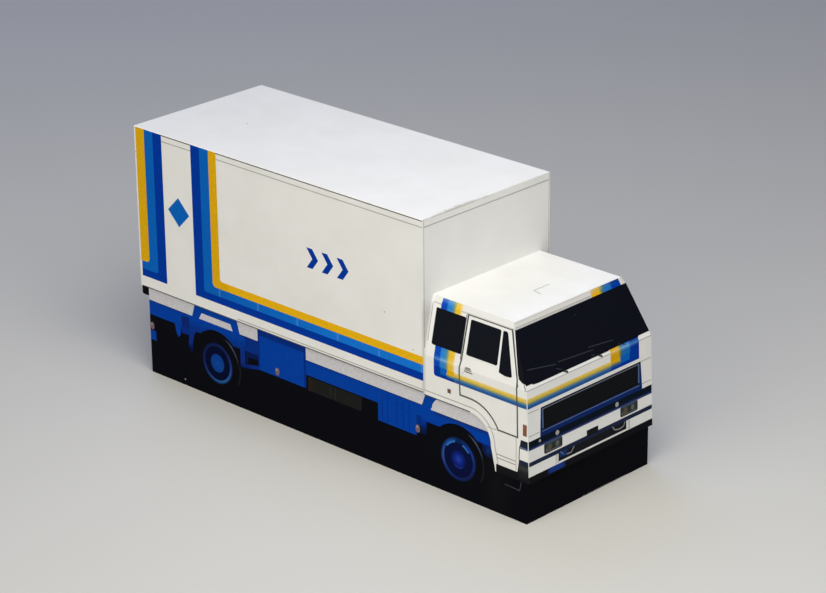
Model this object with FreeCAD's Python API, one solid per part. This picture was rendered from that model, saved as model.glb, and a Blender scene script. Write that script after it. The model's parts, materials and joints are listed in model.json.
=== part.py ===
import FreeCAD, Part
import math
import os

# A box truck folded from printed card, to a scale of 1:100.
# The frame: +X towards the truck's front, +Y to its left, +Z up.
# The origin is on the ground, under the middle of the truck's length and width.
# All lengths are millimetres.
Vector = FreeCAD.Vector
Matrix = FreeCAD.Matrix

# The sheet
card = 0.2                  # thickness of the card
ink = 0.02                  # thickness given to a printed colour
fold_radius = 0.12          # outer radius of a creased fold
crease = 0.01               # between the inks on the two sides of a fold
crack = 0.08                # white paper bared beside a corner by its crease
bare_corner_foot = 0.95     # where the bared paper of the cab's front corners starts, above its lower edge
rear_margin = 0.3           # white paper beside the cargo box's rear edges
overrun = 1.0               # by which a cutter passes what it cuts

# The whole model
body_width = 25.1           # over the cargo box, and over the cab

# The chassis skirt, a strip folded round and open below
chassis_height = 13.35      # ground to the top of the deck
rear_overhang = 1.4         # of the cargo box past the skirt
front_inset = 0.55          # of the skirt behind the bumper
tab_width = 3.6             # glue tabs under the deck
tab_taper = 1.2             # cut off at each end of a tab
tab_end_gap = 0.6           # between a tab's ends and the skirt's corners
closing_tab_width = 4.0     # the tab that joins the strip's two ends

# The cargo box
cargo_length = 56.5
cargo_height = 24.45

# The black bar under the cargo box's rear edge
bar_height = 1.3
bar_inset = 0.1             # from the cargo box's sides
bar_radius = 0.3

# The cab
cab_length = 18.7           # cargo box to bumper
cab_bottom = 6.0            # height of its cut lower edge
belt_height = 19.0          # where the upper faces start to lean in
gutter_height = 26.1        # lower edge of the band round the roof
roof_height = 26.95
cab_front_rake = 0.57       # belt behind the bumper
screen_rake = 3.3           # windscreen's top behind its base
side_lean = 1.55            # gutter inside the belt, on each side
band_lean = 0.45            # roof's edge inside the gutter, on each side
band_rake = 0.6             # roof's edge behind the gutter
arch_top = 13.1             # height of the cut over the front wheel
arch_reach = 12.0           # from the cab's rear edge to the arch's front cut
arch_turn = 3.7             # radius of the arch's upper front corner
arch_flare = 0.8            # by which the front cut runs forward on its way down

# The printed wheels
wheelbase = 46.85
front_axle_reach = 6.05     # ahead of the cab's rear edge, under the arch
axle_height = 5.5
tyre_radius = 5.0
rim_radius = 3.1
rim_width = 0.5
hub_radius = 1.4
glint_radius = 4.65         # light caught by the tyre's shoulder
glint_width = 0.25

# The printed stripes of the cargo box
blue_stripe = 1.83          # width of each upright blue stripe
yellow_stripe = 1.55        # width of the front set's upright yellow stripe
edge_stripe = 2.1           # width of the rear set's yellow stripe, at the rear edge
stripe_gap = 6.1            # white between the two sets
stripe_foot = 1.7           # their lowest edge above the cargo box's lower edge
dark_run = 1.1              # heights of the stripes that run along the box
light_run = 1.2
yellow_run = 1.15
run_margin = 0.45           # white at the rear end of the blue runs
wide_turn = 0.7             # radii of the stripes' corners
tight_turn = 0.4

# The printed stripes of the cab
cab_stripe_setback = 1.85   # from the cab's rear edge
cab_stripe = 1.2            # width of each upright stripe on the sides
front_stripe = 1.95         # width of each upright stripe on the front
front_stripe_reach = 9.95   # from the middle of the front to the outermost one
belt_stripe_drop = 2.5      # their lowest edge below the belt
belt_dark = 0.5             # heights of the stripes that run round the belt
belt_light = 0.35
belt_yellow = 0.55

# Other print
fine_line = 0.13            # widths of the printed lines
door_line = 0.22
roof_line_drop = 1.06       # faint line below the cargo box's roof
sill_line_rise = 0.42       # faint line above the cargo box's lower edge
sill_line_reach = 36.0      # its length, back from the box's front edge
arch_line_rise = 0.8        # faint line round the arch
door_arch_rise = 1.95       # lower edge of the door, round the arch
window_turn = 0.15          # radii of printed corners
lamp_turn = 0.3
marker_width = 0.8          # the small lamps on the skirt's sides
marker_height = 1.15
marker_corner = 0.25        # cut off at each of their corners
small_lamp_radius = 0.32
badge_width = 4.4           # the diamond between the cargo box's two sets of stripes
chevron_count = 3           # the chevrons on the cargo box's sides
chevron_width = 1.1
chevron_height = 2.9
chevron_pitch = 2.9

# Places along the length
model_length = cargo_length + cab_length
rear_x = -model_length / 2
front_x = model_length / 2
cab_rear_x = rear_x + cargo_length
skirt_rear_x = rear_x + rear_overhang
skirt_front_x = front_x - front_inset
skirt_length = skirt_front_x - skirt_rear_x
skirt_middle_x = (skirt_rear_x + skirt_front_x) / 2
front_axle_x = cab_rear_x + front_axle_reach
rear_axle_x = front_axle_x - wheelbase
belt_x = front_x - cab_front_rake
screen_x = belt_x - screen_rake

# Places across the width and up the height
body_half = body_width / 2
skirt_half = body_half - card
skirt_width = 2 * skirt_half
deck_underside = chassis_height - card
cab_low_height = belt_height - cab_bottom
belt_stripe_foot = cab_low_height - belt_stripe_drop
screen_height = gutter_height - belt_height
band_height = roof_height - gutter_height

parts_folder = "parts"
os.makedirs(parts_folder, exist_ok=True)


def save(name, shapes):
    """Write one node from its solids."""
    solids = []
    for shape in shapes:
        solids.extend(shape.Solids)
    node = solids[0] if len(solids) == 1 else Part.makeCompound(solids)
    node.exportStep(os.path.join(parts_folder, name + ".step"))


def block(low, high):
    """A plain block between two corners."""
    size = high - low
    return Part.makeBox(size.x, size.y, size.z, low)


def both_sides(shapes):
    """Right-hand pieces and their left-hand twins."""
    twins = [shape.mirror(Vector(), Vector(0, 1, 0)) for shape in shapes]
    return list(shapes) + twins


def merged(shapes):
    """One shape from several, without seams where they meet."""
    if len(shapes) == 1:
        return shapes[0]
    return shapes[0].multiFuse(shapes[1:]).removeSplitter()


# Flat figures, drawn in the XY plane
def figure(points):
    """A flat face from its corners."""
    return Part.Face(Part.makePolygon(list(points) + [points[0]]))


def rectangle(low, high, radius=0):
    """A flat upright rectangle, with rounded corners where a radius is given."""
    flat = figure([low, Vector(high.x, low.y, 0), high, Vector(low.x, high.y, 0)])
    return softened(flat, radius) if radius else flat


def softened(flat, radius):
    """A flat figure with its outward corners rounded."""
    inner = flat.makeOffset2D(-radius, join=2)
    return inner.makeOffset2D(radius, join=0)


def disc(centre, radius):
    return Part.Face(Part.Wire(Part.makeCircle(radius, centre)))


def side_lamp(centre):
    """A small upright lamp with its corners cut off."""
    width, height, cut = marker_width / 2, marker_height / 2, marker_corner
    right = [(width, cut - height), (width, height - cut), (width - cut, height)]
    left = [(cut - width, height), (-width, height - cut), (-width, cut - height)]
    low = [(cut - width, -height), (width - cut, -height)]
    return figure([centre + Vector(x, y, 0) for x, y in right + left + low])


def ring(centre, radius, width):
    return disc(centre, radius).cut(disc(centre, radius - width))


def bar(start, end, width):
    """A straight line of some width, with square ends."""
    ahead = (end - start).normalize() * (width / 2)
    aside = Vector(-ahead.y, ahead.x, 0)
    return figure([start - ahead - aside, end + ahead - aside, end + ahead + aside, start - ahead + aside])


def row(start, end, height, width):
    """A level line of some width, between two places along a face."""
    return rectangle(Vector(start, height - width / 2, 0), Vector(end, height + width / 2, 0))


def stroke(points, width):
    """A line of some width through a row of points."""
    return merged([bar(a, b, width) for a, b in zip(points, points[1:])])


def arch_opening(rise=0):
    """The cut over the front wheel, seen from the right, or what lies within a rise of it."""
    back = cab_rear_x - overrun
    low = cab_bottom - overrun
    cut_x = cab_rear_x + arch_reach
    turn_end = arch_top - arch_turn
    foot_x = cut_x + arch_flare * (turn_end - low) / (turn_end - cab_bottom)
    centre = Vector(cut_x - arch_turn, turn_end, 0)
    start = centre + Vector(0, arch_turn, 0)
    end = centre + Vector(arch_turn, 0, 0)
    middle = centre + Vector(1, 1, 0).normalize() * arch_turn
    corners = [end, Vector(foot_x, low, 0), Vector(back, low, 0), Vector(back, arch_top, 0), start]
    edges = [Part.Arc(start, middle, end).toShape()]
    for a, b in zip(corners, corners[1:]):
        edges.append(Part.LineSegment(a, b).toShape())
    opening = Part.Face(Part.Wire(Part.__sortEdges__(edges)))
    return opening.makeOffset2D(rise, join=2) if rise else opening


def arch_line(rise, width):
    """A line of some width that follows the arch at a rise above it, placed on the cab's side."""
    line = arch_opening(rise).cut(arch_opening(rise - width))
    line.translate(Vector(-cab_rear_x, -cab_bottom, 0))
    return line


# Turns a flat figure's X, Y and thickness into the model's directions
side_axes = Matrix(1, 0, 0, 0, 0, 0, -1, 0, 0, 1, 0, 0, 0, 0, 0, 1)
front_axes = Matrix(0, 0, 1, 0, 1, 0, 0, 0, 0, 1, 0, 0, 0, 0, 0, 1)


def prism(flat, axes, start, length):
    """A flat figure pulled out along its own normal, and turned into the model."""
    solid = flat.extrude(Vector(0, 0, length))
    solid.translate(Vector(0, 0, start))
    solid.Placement = FreeCAD.Placement(axes) * solid.Placement
    return solid


class Panel:
    """A flat face of card that is printed on.

    u runs along the face and v up it, both from one lower corner. Print is
    drawn flat, in millimetres or in shares of the face, and then laid on."""

    def __init__(self, corner, along, up, length, height):
        self.corner = Vector(*corner)
        self.along = Vector(*along).normalize()
        self.up = Vector(*up).normalize()
        self.out = self.along.cross(self.up)
        self.length = length
        self.height = height
        self.coats = []

    def at(self, u_share, v_share):
        """A flat point from shares of the face."""
        return Vector(u_share * self.length, v_share * self.height, 0)

    def area(self, shares):
        """A flat figure from its corners, in shares of the face."""
        return figure([self.at(u, v) for u, v in shares])

    def patch(self, low_share, high_share, radius=0):
        """A flat upright rectangle between two corners, in shares of the face."""
        return rectangle(self.at(*low_share), self.at(*high_share), radius)

    def line(self, shares, width):
        """A flat line through points in shares of the face."""
        return stroke([self.at(u, v) for u, v in shares], width)

    def ink(self, node, *flats):
        """Print figures over what is there. Bare figures leave the card as it is."""
        self.coats.append((node, merged(list(flats))))

    def lay(self, flat):
        """Raise flat figures into layers of ink on the face."""
        axes = Matrix(self.along.x, self.up.x, self.out.x, self.corner.x,
                      self.along.y, self.up.y, self.out.y, self.corner.y,
                      self.along.z, self.up.z, self.out.z, self.corner.z,
                      0, 0, 0, 1)
        return [prism(face, axes, 0, ink) for face in flat.Faces]

    def layers(self, outline):
        """What shows of each colour inside an outline, as solids by node."""
        free = outline
        shown = {}
        for node, flat in reversed(self.coats):
            seen = flat.common(free)
            free = free.cut(flat)
            if node != bare and seen.Faces:
                shown.setdefault(node, []).extend(seen.Faces)
        return {node: self.lay(merged(faces)) for node, faces in shown.items()}


# The printed colours, each a node
bare = ""
yellow = "printed_stripes_yellow"
light_blue = "printed_stripes_light_blue"
dark_blue = "printed_stripes_dark_blue"
chassis_black = "printed_chassis_black"
chassis_blue = "printed_chassis_blue"
chassis_shade = "printed_chassis_shade"
chassis_beige = "printed_chassis_beige"
tank = "printed_tank"
wheel_rims = "printed_wheel_rims"
wheel_wells = "printed_wheel_wells"
tyre_glints = "printed_tyre_glints"
windows = "printed_windows"
grille = "printed_grille"
grille_frame = "printed_grille_frame"
bumper_black = "printed_bumper_black"
bumper_navy = "printed_bumper_navy"
headlamps = "printed_headlamps"
markers = "printed_markers"
lines = "printed_panel_lines"
faint_lines = "printed_faint_lines"


# The chassis: a folded skirt, the deck on it, and the tabs glued under the deck
def chassis_skirt():
    low = Vector(skirt_rear_x, -skirt_half, 0)
    high = Vector(skirt_front_x, skirt_half, 0)
    wall = Vector(card, card, 0)
    return rectangle(low, high).cut(rectangle(low + wall, high - wall)).extrude(Vector(0, 0, deck_underside))


def chassis_deck():
    low = Vector(skirt_rear_x, -skirt_half, deck_underside)
    return block(low, Vector(skirt_front_x, skirt_half, chassis_height))


def glue_tab(length, width):
    """A flat tab whose free corners are cut off, along X from the origin."""
    free_corners = [Vector(length - tab_taper, width, 0), Vector(tab_taper, width, 0)]
    return figure([Vector(), Vector(length, 0, 0)] + free_corners).extrude(Vector(0, 0, card))


def skirt_tabs():
    """Tabs folded in from the skirt's upper edge, flat under the deck, and the closing tab."""
    inner_x = skirt_rear_x + card
    inner_y = skirt_half - card
    tab_z = deck_underside - card
    side_tab = glue_tab(skirt_length - 2 * card - 2 * tab_end_gap, tab_width)
    side_tab.translate(Vector(inner_x + tab_end_gap, -inner_y, tab_z))
    end_length = 2 * (inner_y - tab_end_gap - tab_width)
    end_tab = glue_tab(end_length, tab_width)
    end_tab.rotate(Vector(), Vector(0, 0, 1), -90)
    end_tab.translate(Vector(inner_x, end_length / 2, tab_z))
    front_tab = end_tab.mirror(Vector(skirt_middle_x, 0, 0), Vector(1, 0, 0))
    closing = glue_tab(tab_z - 2 * tab_end_gap, closing_tab_width)
    closing.rotate(Vector(), Vector(0, 1, 0), -90)
    closing.rotate(Vector(), Vector(0, 0, 1), -90)
    closing.translate(Vector(inner_x, inner_y - card, tab_end_gap))
    return both_sides([side_tab]) + [end_tab, front_tab, closing]


# The cargo box: roof and sides folded from one sheet, two end walls and a floor
def cargo_wrap():
    low = Vector(-body_half, chassis_height, 0)
    high = Vector(body_half, chassis_height + cargo_height, 0)
    soft = rectangle(low - Vector(0, overrun, 0), high, fold_radius)
    inside = rectangle(low + Vector(card, -overrun, 0), high - Vector(card, card, 0))
    section = soft.common(rectangle(low, high)).cut(inside)
    return prism(section, front_axes, rear_x, cargo_length)


def cargo_plate(low_x, high_x, low_z, high_z):
    """A plate that fits between the cargo box's sides."""
    half = body_half - card
    return block(Vector(low_x, -half, low_z), Vector(high_x, half, high_z))


def rear_bar():
    """The black bar of rolled card between the skirt and the box's rear edge."""
    half = body_half - bar_inset
    low = Vector(rear_x + bar_inset, -half, chassis_height - bar_height)
    solid = block(low, Vector(skirt_rear_x, half, chassis_height))
    lower = [edge for edge in solid.Edges
             if edge.BoundBox.ZMax < chassis_height and edge.BoundBox.XMax < skirt_rear_x]
    return solid.makeFillet(bar_radius, lower)


# The cab: one sheet folded over the skirt's front
def cab_form(wall):
    """The cab's outer form, or with a wall the space inside its card."""
    reach = overrun if wall else 0
    low = cab_bottom - reach
    back = cab_rear_x - reach
    foot_x = front_x + cab_front_rake * reach / cab_low_height
    side_view = figure([Vector(back, low, 0), Vector(foot_x, low, 0), Vector(belt_x, belt_height, 0),
                        Vector(screen_x, gutter_height, 0), Vector(screen_x - band_rake, roof_height, 0),
                        Vector(back, roof_height, 0)])
    gutter_half = body_half - side_lean
    half = [Vector(body_half, low, 0), Vector(body_half, belt_height, 0),
            Vector(gutter_half, gutter_height, 0), Vector(gutter_half - band_lean, roof_height, 0)]
    front_view = figure(half + [Vector(-p.x, p.y, 0) for p in reversed(half)])
    if wall:
        side_view = side_view.makeOffset2D(-wall, join=2)
        front_view = front_view.makeOffset2D(-wall, join=2)
    lengthways = prism(front_view, front_axes, back, model_length)
    return lengthways.common(prism(side_view, side_axes, -body_width, 2 * body_width))


def cab_shell():
    arch = prism(arch_opening(), side_axes, -body_width, 2 * body_width)
    return cab_form(0).cut(cab_form(card)).cut(arch)


# The faces that are printed on. Those of the sides are the right-hand ones.
forward, sideways, backwards_across, upward = (1, 0, 0), (0, 1, 0), (0, -1, 0), (0, 0, 1)
upper_slope = math.hypot(side_lean, screen_height)
screen_slope = math.hypot(screen_rake, screen_height)
side_band_slope = math.hypot(band_lean, band_height)
front_band_slope = math.hypot(band_rake, band_height)
gutter_y = body_half - side_lean

cargo_side = Panel((rear_x, -body_half, chassis_height), forward, upward, cargo_length, cargo_height)
cargo_rear = Panel((rear_x, body_half, chassis_height), backwards_across, upward, body_width, cargo_height)
cargo_front = Panel((cab_rear_x, -body_half, chassis_height), sideways, upward, body_width, cargo_height)
skirt_side = Panel((skirt_rear_x, -skirt_half, 0), forward, upward, skirt_length, chassis_height)
skirt_front = Panel((skirt_front_x, -skirt_half, 0), sideways, upward, skirt_width, chassis_height)
skirt_rear = Panel((skirt_rear_x, skirt_half, 0), backwards_across, upward, skirt_width, chassis_height)
cab_side = Panel((cab_rear_x, -body_half, cab_bottom), forward, upward, cab_length, cab_low_height)
cab_upper = Panel((cab_rear_x, -body_half, belt_height), forward, (0, side_lean, screen_height),
                  belt_x - cab_rear_x, upper_slope)
cab_side_band = Panel((cab_rear_x, -gutter_y, gutter_height), forward, (0, band_lean, band_height),
                      screen_x - cab_rear_x, side_band_slope)
cab_front = Panel((front_x, -body_half, cab_bottom), sideways, (-cab_front_rake, 0, cab_low_height),
                  body_width, math.hypot(cab_front_rake, cab_low_height))
windscreen = Panel((belt_x, -body_half, belt_height), sideways, (-screen_rake, 0, screen_height),
                   body_width, screen_slope)
cab_front_band = Panel((screen_x, -gutter_y, gutter_height), sideways, (-band_rake, 0, band_height),
                       2 * gutter_y, front_band_slope)


# The print on the skirt's sides, in shares of its length and of its height
everywhere_share = (-1, -1), (2, 2)
frame_top_share = 0.855
frame_low_share = 0.687
rear_frame_share = (-1, frame_low_share), (0.32, frame_top_share)
middle_frame_share = (0.44, frame_low_share), (0.75, frame_top_share)
rear_beige_shares = [(-0.01, frame_top_share), (-0.01, 1), (0.134, 1), (0.127, frame_top_share)]
guard_beige_shares = [(0.254, 1), (0.312, 1), (0.312, frame_top_share), (0.262, frame_top_share)]
slot_shares = [(0.154, 0.929), (0.236, 0.929), (0.242, frame_top_share), (0.146, frame_top_share)]
tank_beige_shares = [(0.444, frame_top_share), (0.444, 1), (0.755, 1), (0.745, frame_top_share)]
arch_beige_shares = [(0.769, frame_top_share), (0.772, 0.91), (0.778, 0.955), (0.7885, 1), (0.95, 1),
                     (0.95, frame_top_share)]
rear_guard_shares = [(0.1125, 0.5), (0.1185, 0.427), (0.123, 0.427), (0.1255, 0.53), (0.129, 0.625),
                     (0.137, 0.7), (0.262, 0.7), (0.262, 0.472), (0.317, 0.53), (0.317, 0.575), (0.275, 0.53),
                     (0.275, 0.7), (0.262, frame_top_share), (0.254, 1), (0.135, 1),
                     (0.126, frame_top_share), (0.118, 0.7), (0.115, 0.6)]
guard_shade_shares = (0.094, 0.61), (0.12, frame_low_share)
front_guard_shares = [(0.7555, 1), (0.7885, 1), (0.778, 0.955), (0.772, 0.91), (0.769, frame_top_share),
                      (0.757, 0.8), (0.755, 0.545), (0.742, 0.535), (0.742, 0.72), (0.7468, frame_top_share)]
arch_blue_shares = [(0.75, frame_low_share), (0.885, frame_low_share), (0.9, 0.665), (0.95, 0.63),
                    (0.95, frame_top_share), (0.75, frame_top_share)]
hanger_shares = [(0.0737, frame_low_share), (0.0778, 0.584), (0.0833, 0.543), (0.0887, 0.569),
                 (0.0935, frame_low_share)]
rear_lamp_box_shares = (-0.01, 0.39), (0.0164, 0.502)
locker_shares = (0.3126, 0.532), (0.4437, 1)
locker_face_shares = (0.317, 0.532), (0.438, 0.925)
dim_frame_shares = (0.275, frame_low_share), (0.3126, frame_top_share)
tank_block_shares = (0.633, 0.494), (0.731, frame_top_share)
tank_gap_shares = (0.731, 0.61), (0.742, 0.725)
tank_shares = (0.449, 0.518), (0.59, 0.674)
marker_spot_shares = [(0.006, 0.555), (0.3645, 0.592), (0.734, 0.573)]
glint_angles = (68, 12)


def wheel_print(axle_x):
    """A wheel seen from its side: black tyre, dark well, pale rim and hub."""
    centre = Vector(axle_x - skirt_rear_x, axle_height, 0)
    high, low = [Vector(math.cos(math.radians(a)), math.sin(math.radians(a)), 0) for a in glint_angles]
    wedge = figure([centre, centre + low * (2 * tyre_radius), centre + high * (2 * tyre_radius)])
    skirt_side.ink(chassis_black, disc(centre, tyre_radius))
    skirt_side.ink(tyre_glints, ring(centre, glint_radius, glint_width).common(wedge))
    skirt_side.ink(wheel_wells, disc(centre, rim_radius))
    skirt_side.ink(wheel_rims, ring(centre, rim_radius, rim_width), disc(centre, hub_radius))


def chassis_print():
    """The skirt's print: black all round, with the frame, guards, locker and wheels on its sides."""
    side = skirt_side
    side.ink(chassis_black, side.patch(*everywhere_share))
    side.ink(chassis_beige, side.area(rear_beige_shares), side.area(guard_beige_shares),
             side.area(tank_beige_shares), side.area(arch_beige_shares))
    side.ink(chassis_shade, side.patch(*guard_shade_shares))
    side.ink(chassis_blue, side.patch(*rear_frame_share), side.patch(*middle_frame_share),
             side.area(arch_blue_shares), side.area(hanger_shares), side.patch(*rear_lamp_box_shares))
    side.ink(chassis_shade, side.patch(*dim_frame_shares), side.patch(*tank_gap_shares))
    side.ink(chassis_blue, side.area(rear_guard_shares), side.area(front_guard_shares),
             side.patch(*tank_block_shares))
    side.ink(chassis_shade, side.patch(*locker_shares))
    side.ink(chassis_blue, side.patch(*locker_face_shares))
    side.ink(chassis_beige, side.area(slot_shares))
    side.ink(tank, side.patch(*tank_shares))
    wheel_print(rear_axle_x)
    wheel_print(front_axle_x)
    side.ink(markers, *[side_lamp(side.at(u, v)) for u, v in marker_spot_shares])
    low_strip = rectangle(Vector(-ink, 0, 0), Vector(skirt_length + ink, cab_bottom, 0))
    to_cab = rectangle(Vector(-ink, 0, 0), Vector(cab_rear_x - skirt_rear_x, chassis_height, 0))
    under_arch = arch_opening()
    under_arch.translate(Vector(-skirt_rear_x, 0, 0))
    return side.layers(merged([low_strip, to_cab, under_arch]))


rear_lamp_shares = (0.06, 0.42), (0.15, 0.54)
rear_plate_shares = (0.39, 0.4), (0.61, 0.56)
rear_band_share = (0, frame_low_share), (1, frame_top_share)


def chassis_end_print():
    """The skirt's black ends: the rear one with lamps and a blank plate under the frame's bands."""
    skirt_front.ink(chassis_black, skirt_front.patch(*everywhere_share))
    skirt_rear.ink(chassis_black, skirt_rear.patch(*everywhere_share))
    skirt_rear.ink(chassis_blue, skirt_rear.patch(*rear_band_share))
    (left, low), (right, high) = rear_lamp_shares
    skirt_rear.ink(markers, skirt_rear.patch((left, low), (right, high)),
                   skirt_rear.patch((1 - right, low), (1 - left, high)))
    skirt_rear.ink(bare, skirt_rear.patch(*rear_plate_shares))
    visible = rectangle(Vector(), Vector(skirt_width, chassis_height - bar_height, 0))
    below_cab = rectangle(Vector(), Vector(skirt_width, cab_bottom + overrun, 0))
    return skirt_rear.layers(visible), skirt_front.layers(below_cab)


# The print on the cargo box, in shares of each face
badge_share = (0.157, 0.55)
first_chevron_share = (0.615, 0.495)


def chevron(start):
    """A pointed bar, aimed forwards."""
    point = Vector(chevron_width, chevron_height / 2, 0)
    thickness = Vector(chevron_width, 0, 0)
    return figure([start, start + point, start + Vector(0, chevron_height, 0),
                   start + Vector(0, chevron_height, 0) + thickness, start + point + thickness,
                   start + thickness])


def stripe_set(panel, low_corners, far, turns):
    """Nested stripes, from the outermost in, each over the one before; the last leaves card bare."""
    for node, corner, turn in zip((dark_blue, light_blue, yellow, bare), low_corners, turns):
        panel.ink(node, rectangle(corner, far, turn))


def cargo_side_print():
    """Two sets of stripes, the front one running on along the box, with lines at its edges."""
    side = cargo_side
    light_low = stripe_foot + dark_run
    yellow_low = light_low + light_run
    rear_end = edge_stripe + 2 * blue_stripe
    start = rear_end + stripe_gap
    field = start + 2 * blue_stripe + yellow_stripe
    beyond = cargo_length + overrun
    top = cargo_height + overrun
    before = Vector(-overrun, 0, 0)
    side.ink(dark_blue, rectangle(before + Vector(0, stripe_foot, 0), Vector(rear_end, top, 0)))
    side.ink(light_blue, rectangle(before + Vector(0, light_low, 0),
                                   Vector(rear_end - blue_stripe, top, 0), tight_turn))
    side.ink(bare, rectangle(Vector(), Vector(run_margin, yellow_low, 0)))
    side.ink(yellow, rectangle(before + Vector(0, yellow_low, 0), Vector(edge_stripe, top, 0), wide_turn))
    corners = [Vector(start, stripe_foot, 0), Vector(start + blue_stripe, light_low, 0),
               Vector(start + 2 * blue_stripe, yellow_low, 0),
               Vector(field, yellow_low + yellow_run, 0)]
    stripe_set(side, corners, Vector(beyond, top, 0), (0, tight_turn, wide_turn, tight_turn))
    badge = side.at(*badge_share)
    half = badge_width / 2
    side.ink(light_blue, figure([badge - Vector(half, 0, 0), badge - Vector(0, half, 0),
                                 badge + Vector(half, 0, 0), badge + Vector(0, half, 0)]))
    first = side.at(*first_chevron_share)
    side.ink(dark_blue, *[chevron(first + Vector(i * chevron_pitch, 0, 0)) for i in range(chevron_count)])
    fold_line = cargo_height - fold_radius - fine_line / 2
    roof_line = cargo_height - roof_line_drop
    for left, right in ((rear_end, start), (field, beyond)):
        side.ink(lines, row(left, right, fold_line, fine_line))
        side.ink(faint_lines, row(left, right, roof_line, fine_line))
    side.ink(lines, row(-overrun, beyond, fine_line / 2, fine_line))
    side.ink(faint_lines, row(cargo_length - sill_line_reach, beyond, sill_line_rise, fine_line))
    return side.layers(rectangle(Vector(rear_margin, 0, 0),
                                 Vector(cargo_length - crack, cargo_height - fold_radius, 0)))


door_edge_shares = (0.04, 0.96)
door_seam_share = 0.5
lock_bar_shares = (0.22, 0.3, 0.7, 0.78)


def cargo_end_print():
    """A line under the roof on both end walls; stripes and doors on the rear one."""
    rear = cargo_rear
    roof_line = cargo_height - roof_line_drop
    heights = (stripe_foot, stripe_foot + dark_run, stripe_foot + dark_run + light_run)
    for node, low, run in zip((dark_blue, light_blue, yellow), heights, (dark_run, light_run, yellow_run)):
        rear.ink(node, rectangle(Vector(0, low, 0), Vector(body_width, low + run, 0)))
    top_row = row(-overrun, body_width + overrun, roof_line, fine_line)
    posts = [rear.line([(u, 0), (u, 1)], fine_line) for u in door_edge_shares + lock_bar_shares]
    seam = rear.line([(door_seam_share, 0), (door_seam_share, 1)], door_line)
    below_row = rectangle(Vector(), Vector(body_width, roof_line, 0))
    rear.ink(lines, top_row, merged(posts + [seam]).common(below_row))
    cargo_front.ink(faint_lines, top_row)
    edge = Vector(card + crease, 0, 0)
    inside = rectangle(edge, Vector(body_width, cargo_height - card - crease, 0) - edge)
    return rear.layers(inside), cargo_front.layers(inside)


# The print on the cab, in shares of each face
rear_window_shares = (0.061, 0.239), (0.342, 0.922)
door_window_shares = [(0.4, 0.915), (0.681, 0.915), (0.695, 0.272), (0.4, 0.265)]
quarter_window_shares = [(0.709, 0.918), (0.745, 0.925), (0.844, 0.155), (0.789, 0.135), (0.7225, 0.16)]
screen_wrap_shares = [(0.81, 1.01), (0.9, 0.24), (0.915, 0.165), (0.949, 0.12), (1, 0.1), (1, 1.01)]
sill_share = 0.469
sill_black_shares = [(0.6925, -0.1), (0.6915, 0.09), (0.89, 0.09), (0.905, 0.23), (1.1, 0.23), (1.1, -0.1)]
sill_navy_shares = [(0.902, 0.2), (0.905, 0.235), (1.1, 0.235), (1.1, 0.2)]
bumper_end_shares = [(0.908, 0.375), (0.92, 0.456), (1.1, 0.456), (1.1, 0.375)]
bumper_edge_shares = [(0.904, 0.235), (0.908, 0.375)]
corner_marker_shares = (0.938, 0.512), (0.973, 0.635)
side_marker_shares = (0.23, 0.669), (0.262, 0.715)
door_rear_shares = [(0.343, 1), (0.342, 0.92), (0.35, 0.698)]
door_front_shares = [(0.877, 1), (0.885, 0.76), (0.889, sill_share)]
upper_door_rear_shares = [(0.354, 0), (0.364, 0.14), (0.3696, 1)]
upper_door_front_shares = [(0.906, 0), (0.9, 0.14), (0.786, 1)]
upper_door_top_shares = [(0.3696, 0.985), (0.786, 0.985)]


def cab_upright_stripes(panel, foot):
    """The three upright stripes on a side of the cab, from a height up."""
    top = panel.height + overrun
    for i, node in enumerate((dark_blue, light_blue, yellow)):
        start = cab_stripe_setback + i * cab_stripe
        panel.ink(node, rectangle(Vector(start, foot, 0), Vector(start + cab_stripe, top, 0)))


def door_outline():
    """The door's outline below the belt: down its rear edge, round the arch, and along the sill."""
    side = cab_side
    rear_edge, front_edge = side.line(door_rear_shares, door_line), side.line(door_front_shares, door_line)
    rear_foot, sill_end = side.at(*door_rear_shares[-1]), side.at(*door_front_shares[-1])
    far = Vector(cab_length + overrun, cab_low_height + overrun, 0)
    above_sill = rectangle(Vector(rear_foot.x - door_line / 2, sill_end.y - door_line / 2, 0), far)
    round_arch = arch_line(door_arch_rise + door_line / 2, door_line).common(above_sill)
    sill_line = row(round_arch.BoundBox.XMax - door_line, sill_end.x, sill_end.y, door_line)
    return [rear_edge, round_arch, sill_line, front_edge]


def cab_side_print():
    """The side below the belt: stripes, door, arch lines, bumper end and markers."""
    side = cab_side
    light_low = belt_stripe_foot + belt_dark
    yellow_low = light_low + belt_light
    start = cab_stripe_setback
    corners = [Vector(start, belt_stripe_foot, 0), Vector(start + cab_stripe, light_low, 0),
               Vector(start + 2 * cab_stripe, yellow_low, 0),
               Vector(start + 3 * cab_stripe, yellow_low + belt_yellow, 0)]
    far = Vector(cab_length + overrun, cab_low_height + overrun, 0)
    stripe_set(side, corners, far, (tight_turn, 0, 0, 0))
    for piece in door_outline():
        side.ink(lines, piece)
    side.ink(faint_lines, arch_line(arch_line_rise, fine_line))
    side.ink(lines, row(0, arch_reach - arch_turn, arch_top - cab_bottom + fine_line / 2, fine_line),
             side.line(bumper_edge_shares, fine_line))
    side.ink(bumper_black, side.area(sill_black_shares), side.area(bumper_end_shares))
    side.ink(bumper_navy, side.area(sill_navy_shares))
    side.ink(markers, side.patch(*corner_marker_shares), side.patch(*side_marker_shares))
    foot_lean = cab_front_rake * bare_corner_foot / cab_low_height
    top = cab_low_height - crease
    outline = figure([Vector(), Vector(cab_length - crease, 0, 0),
                      Vector(cab_length - foot_lean - crease, bare_corner_foot, 0),
                      Vector(cab_length - foot_lean - crack, bare_corner_foot, 0),
                      Vector(cab_length - cab_front_rake - crack, top, 0), Vector(0, top, 0)])
    arch = arch_opening()
    arch.translate(Vector(-cab_rear_x, -cab_bottom, 0))
    return side.layers(outline.cut(arch))


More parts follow.
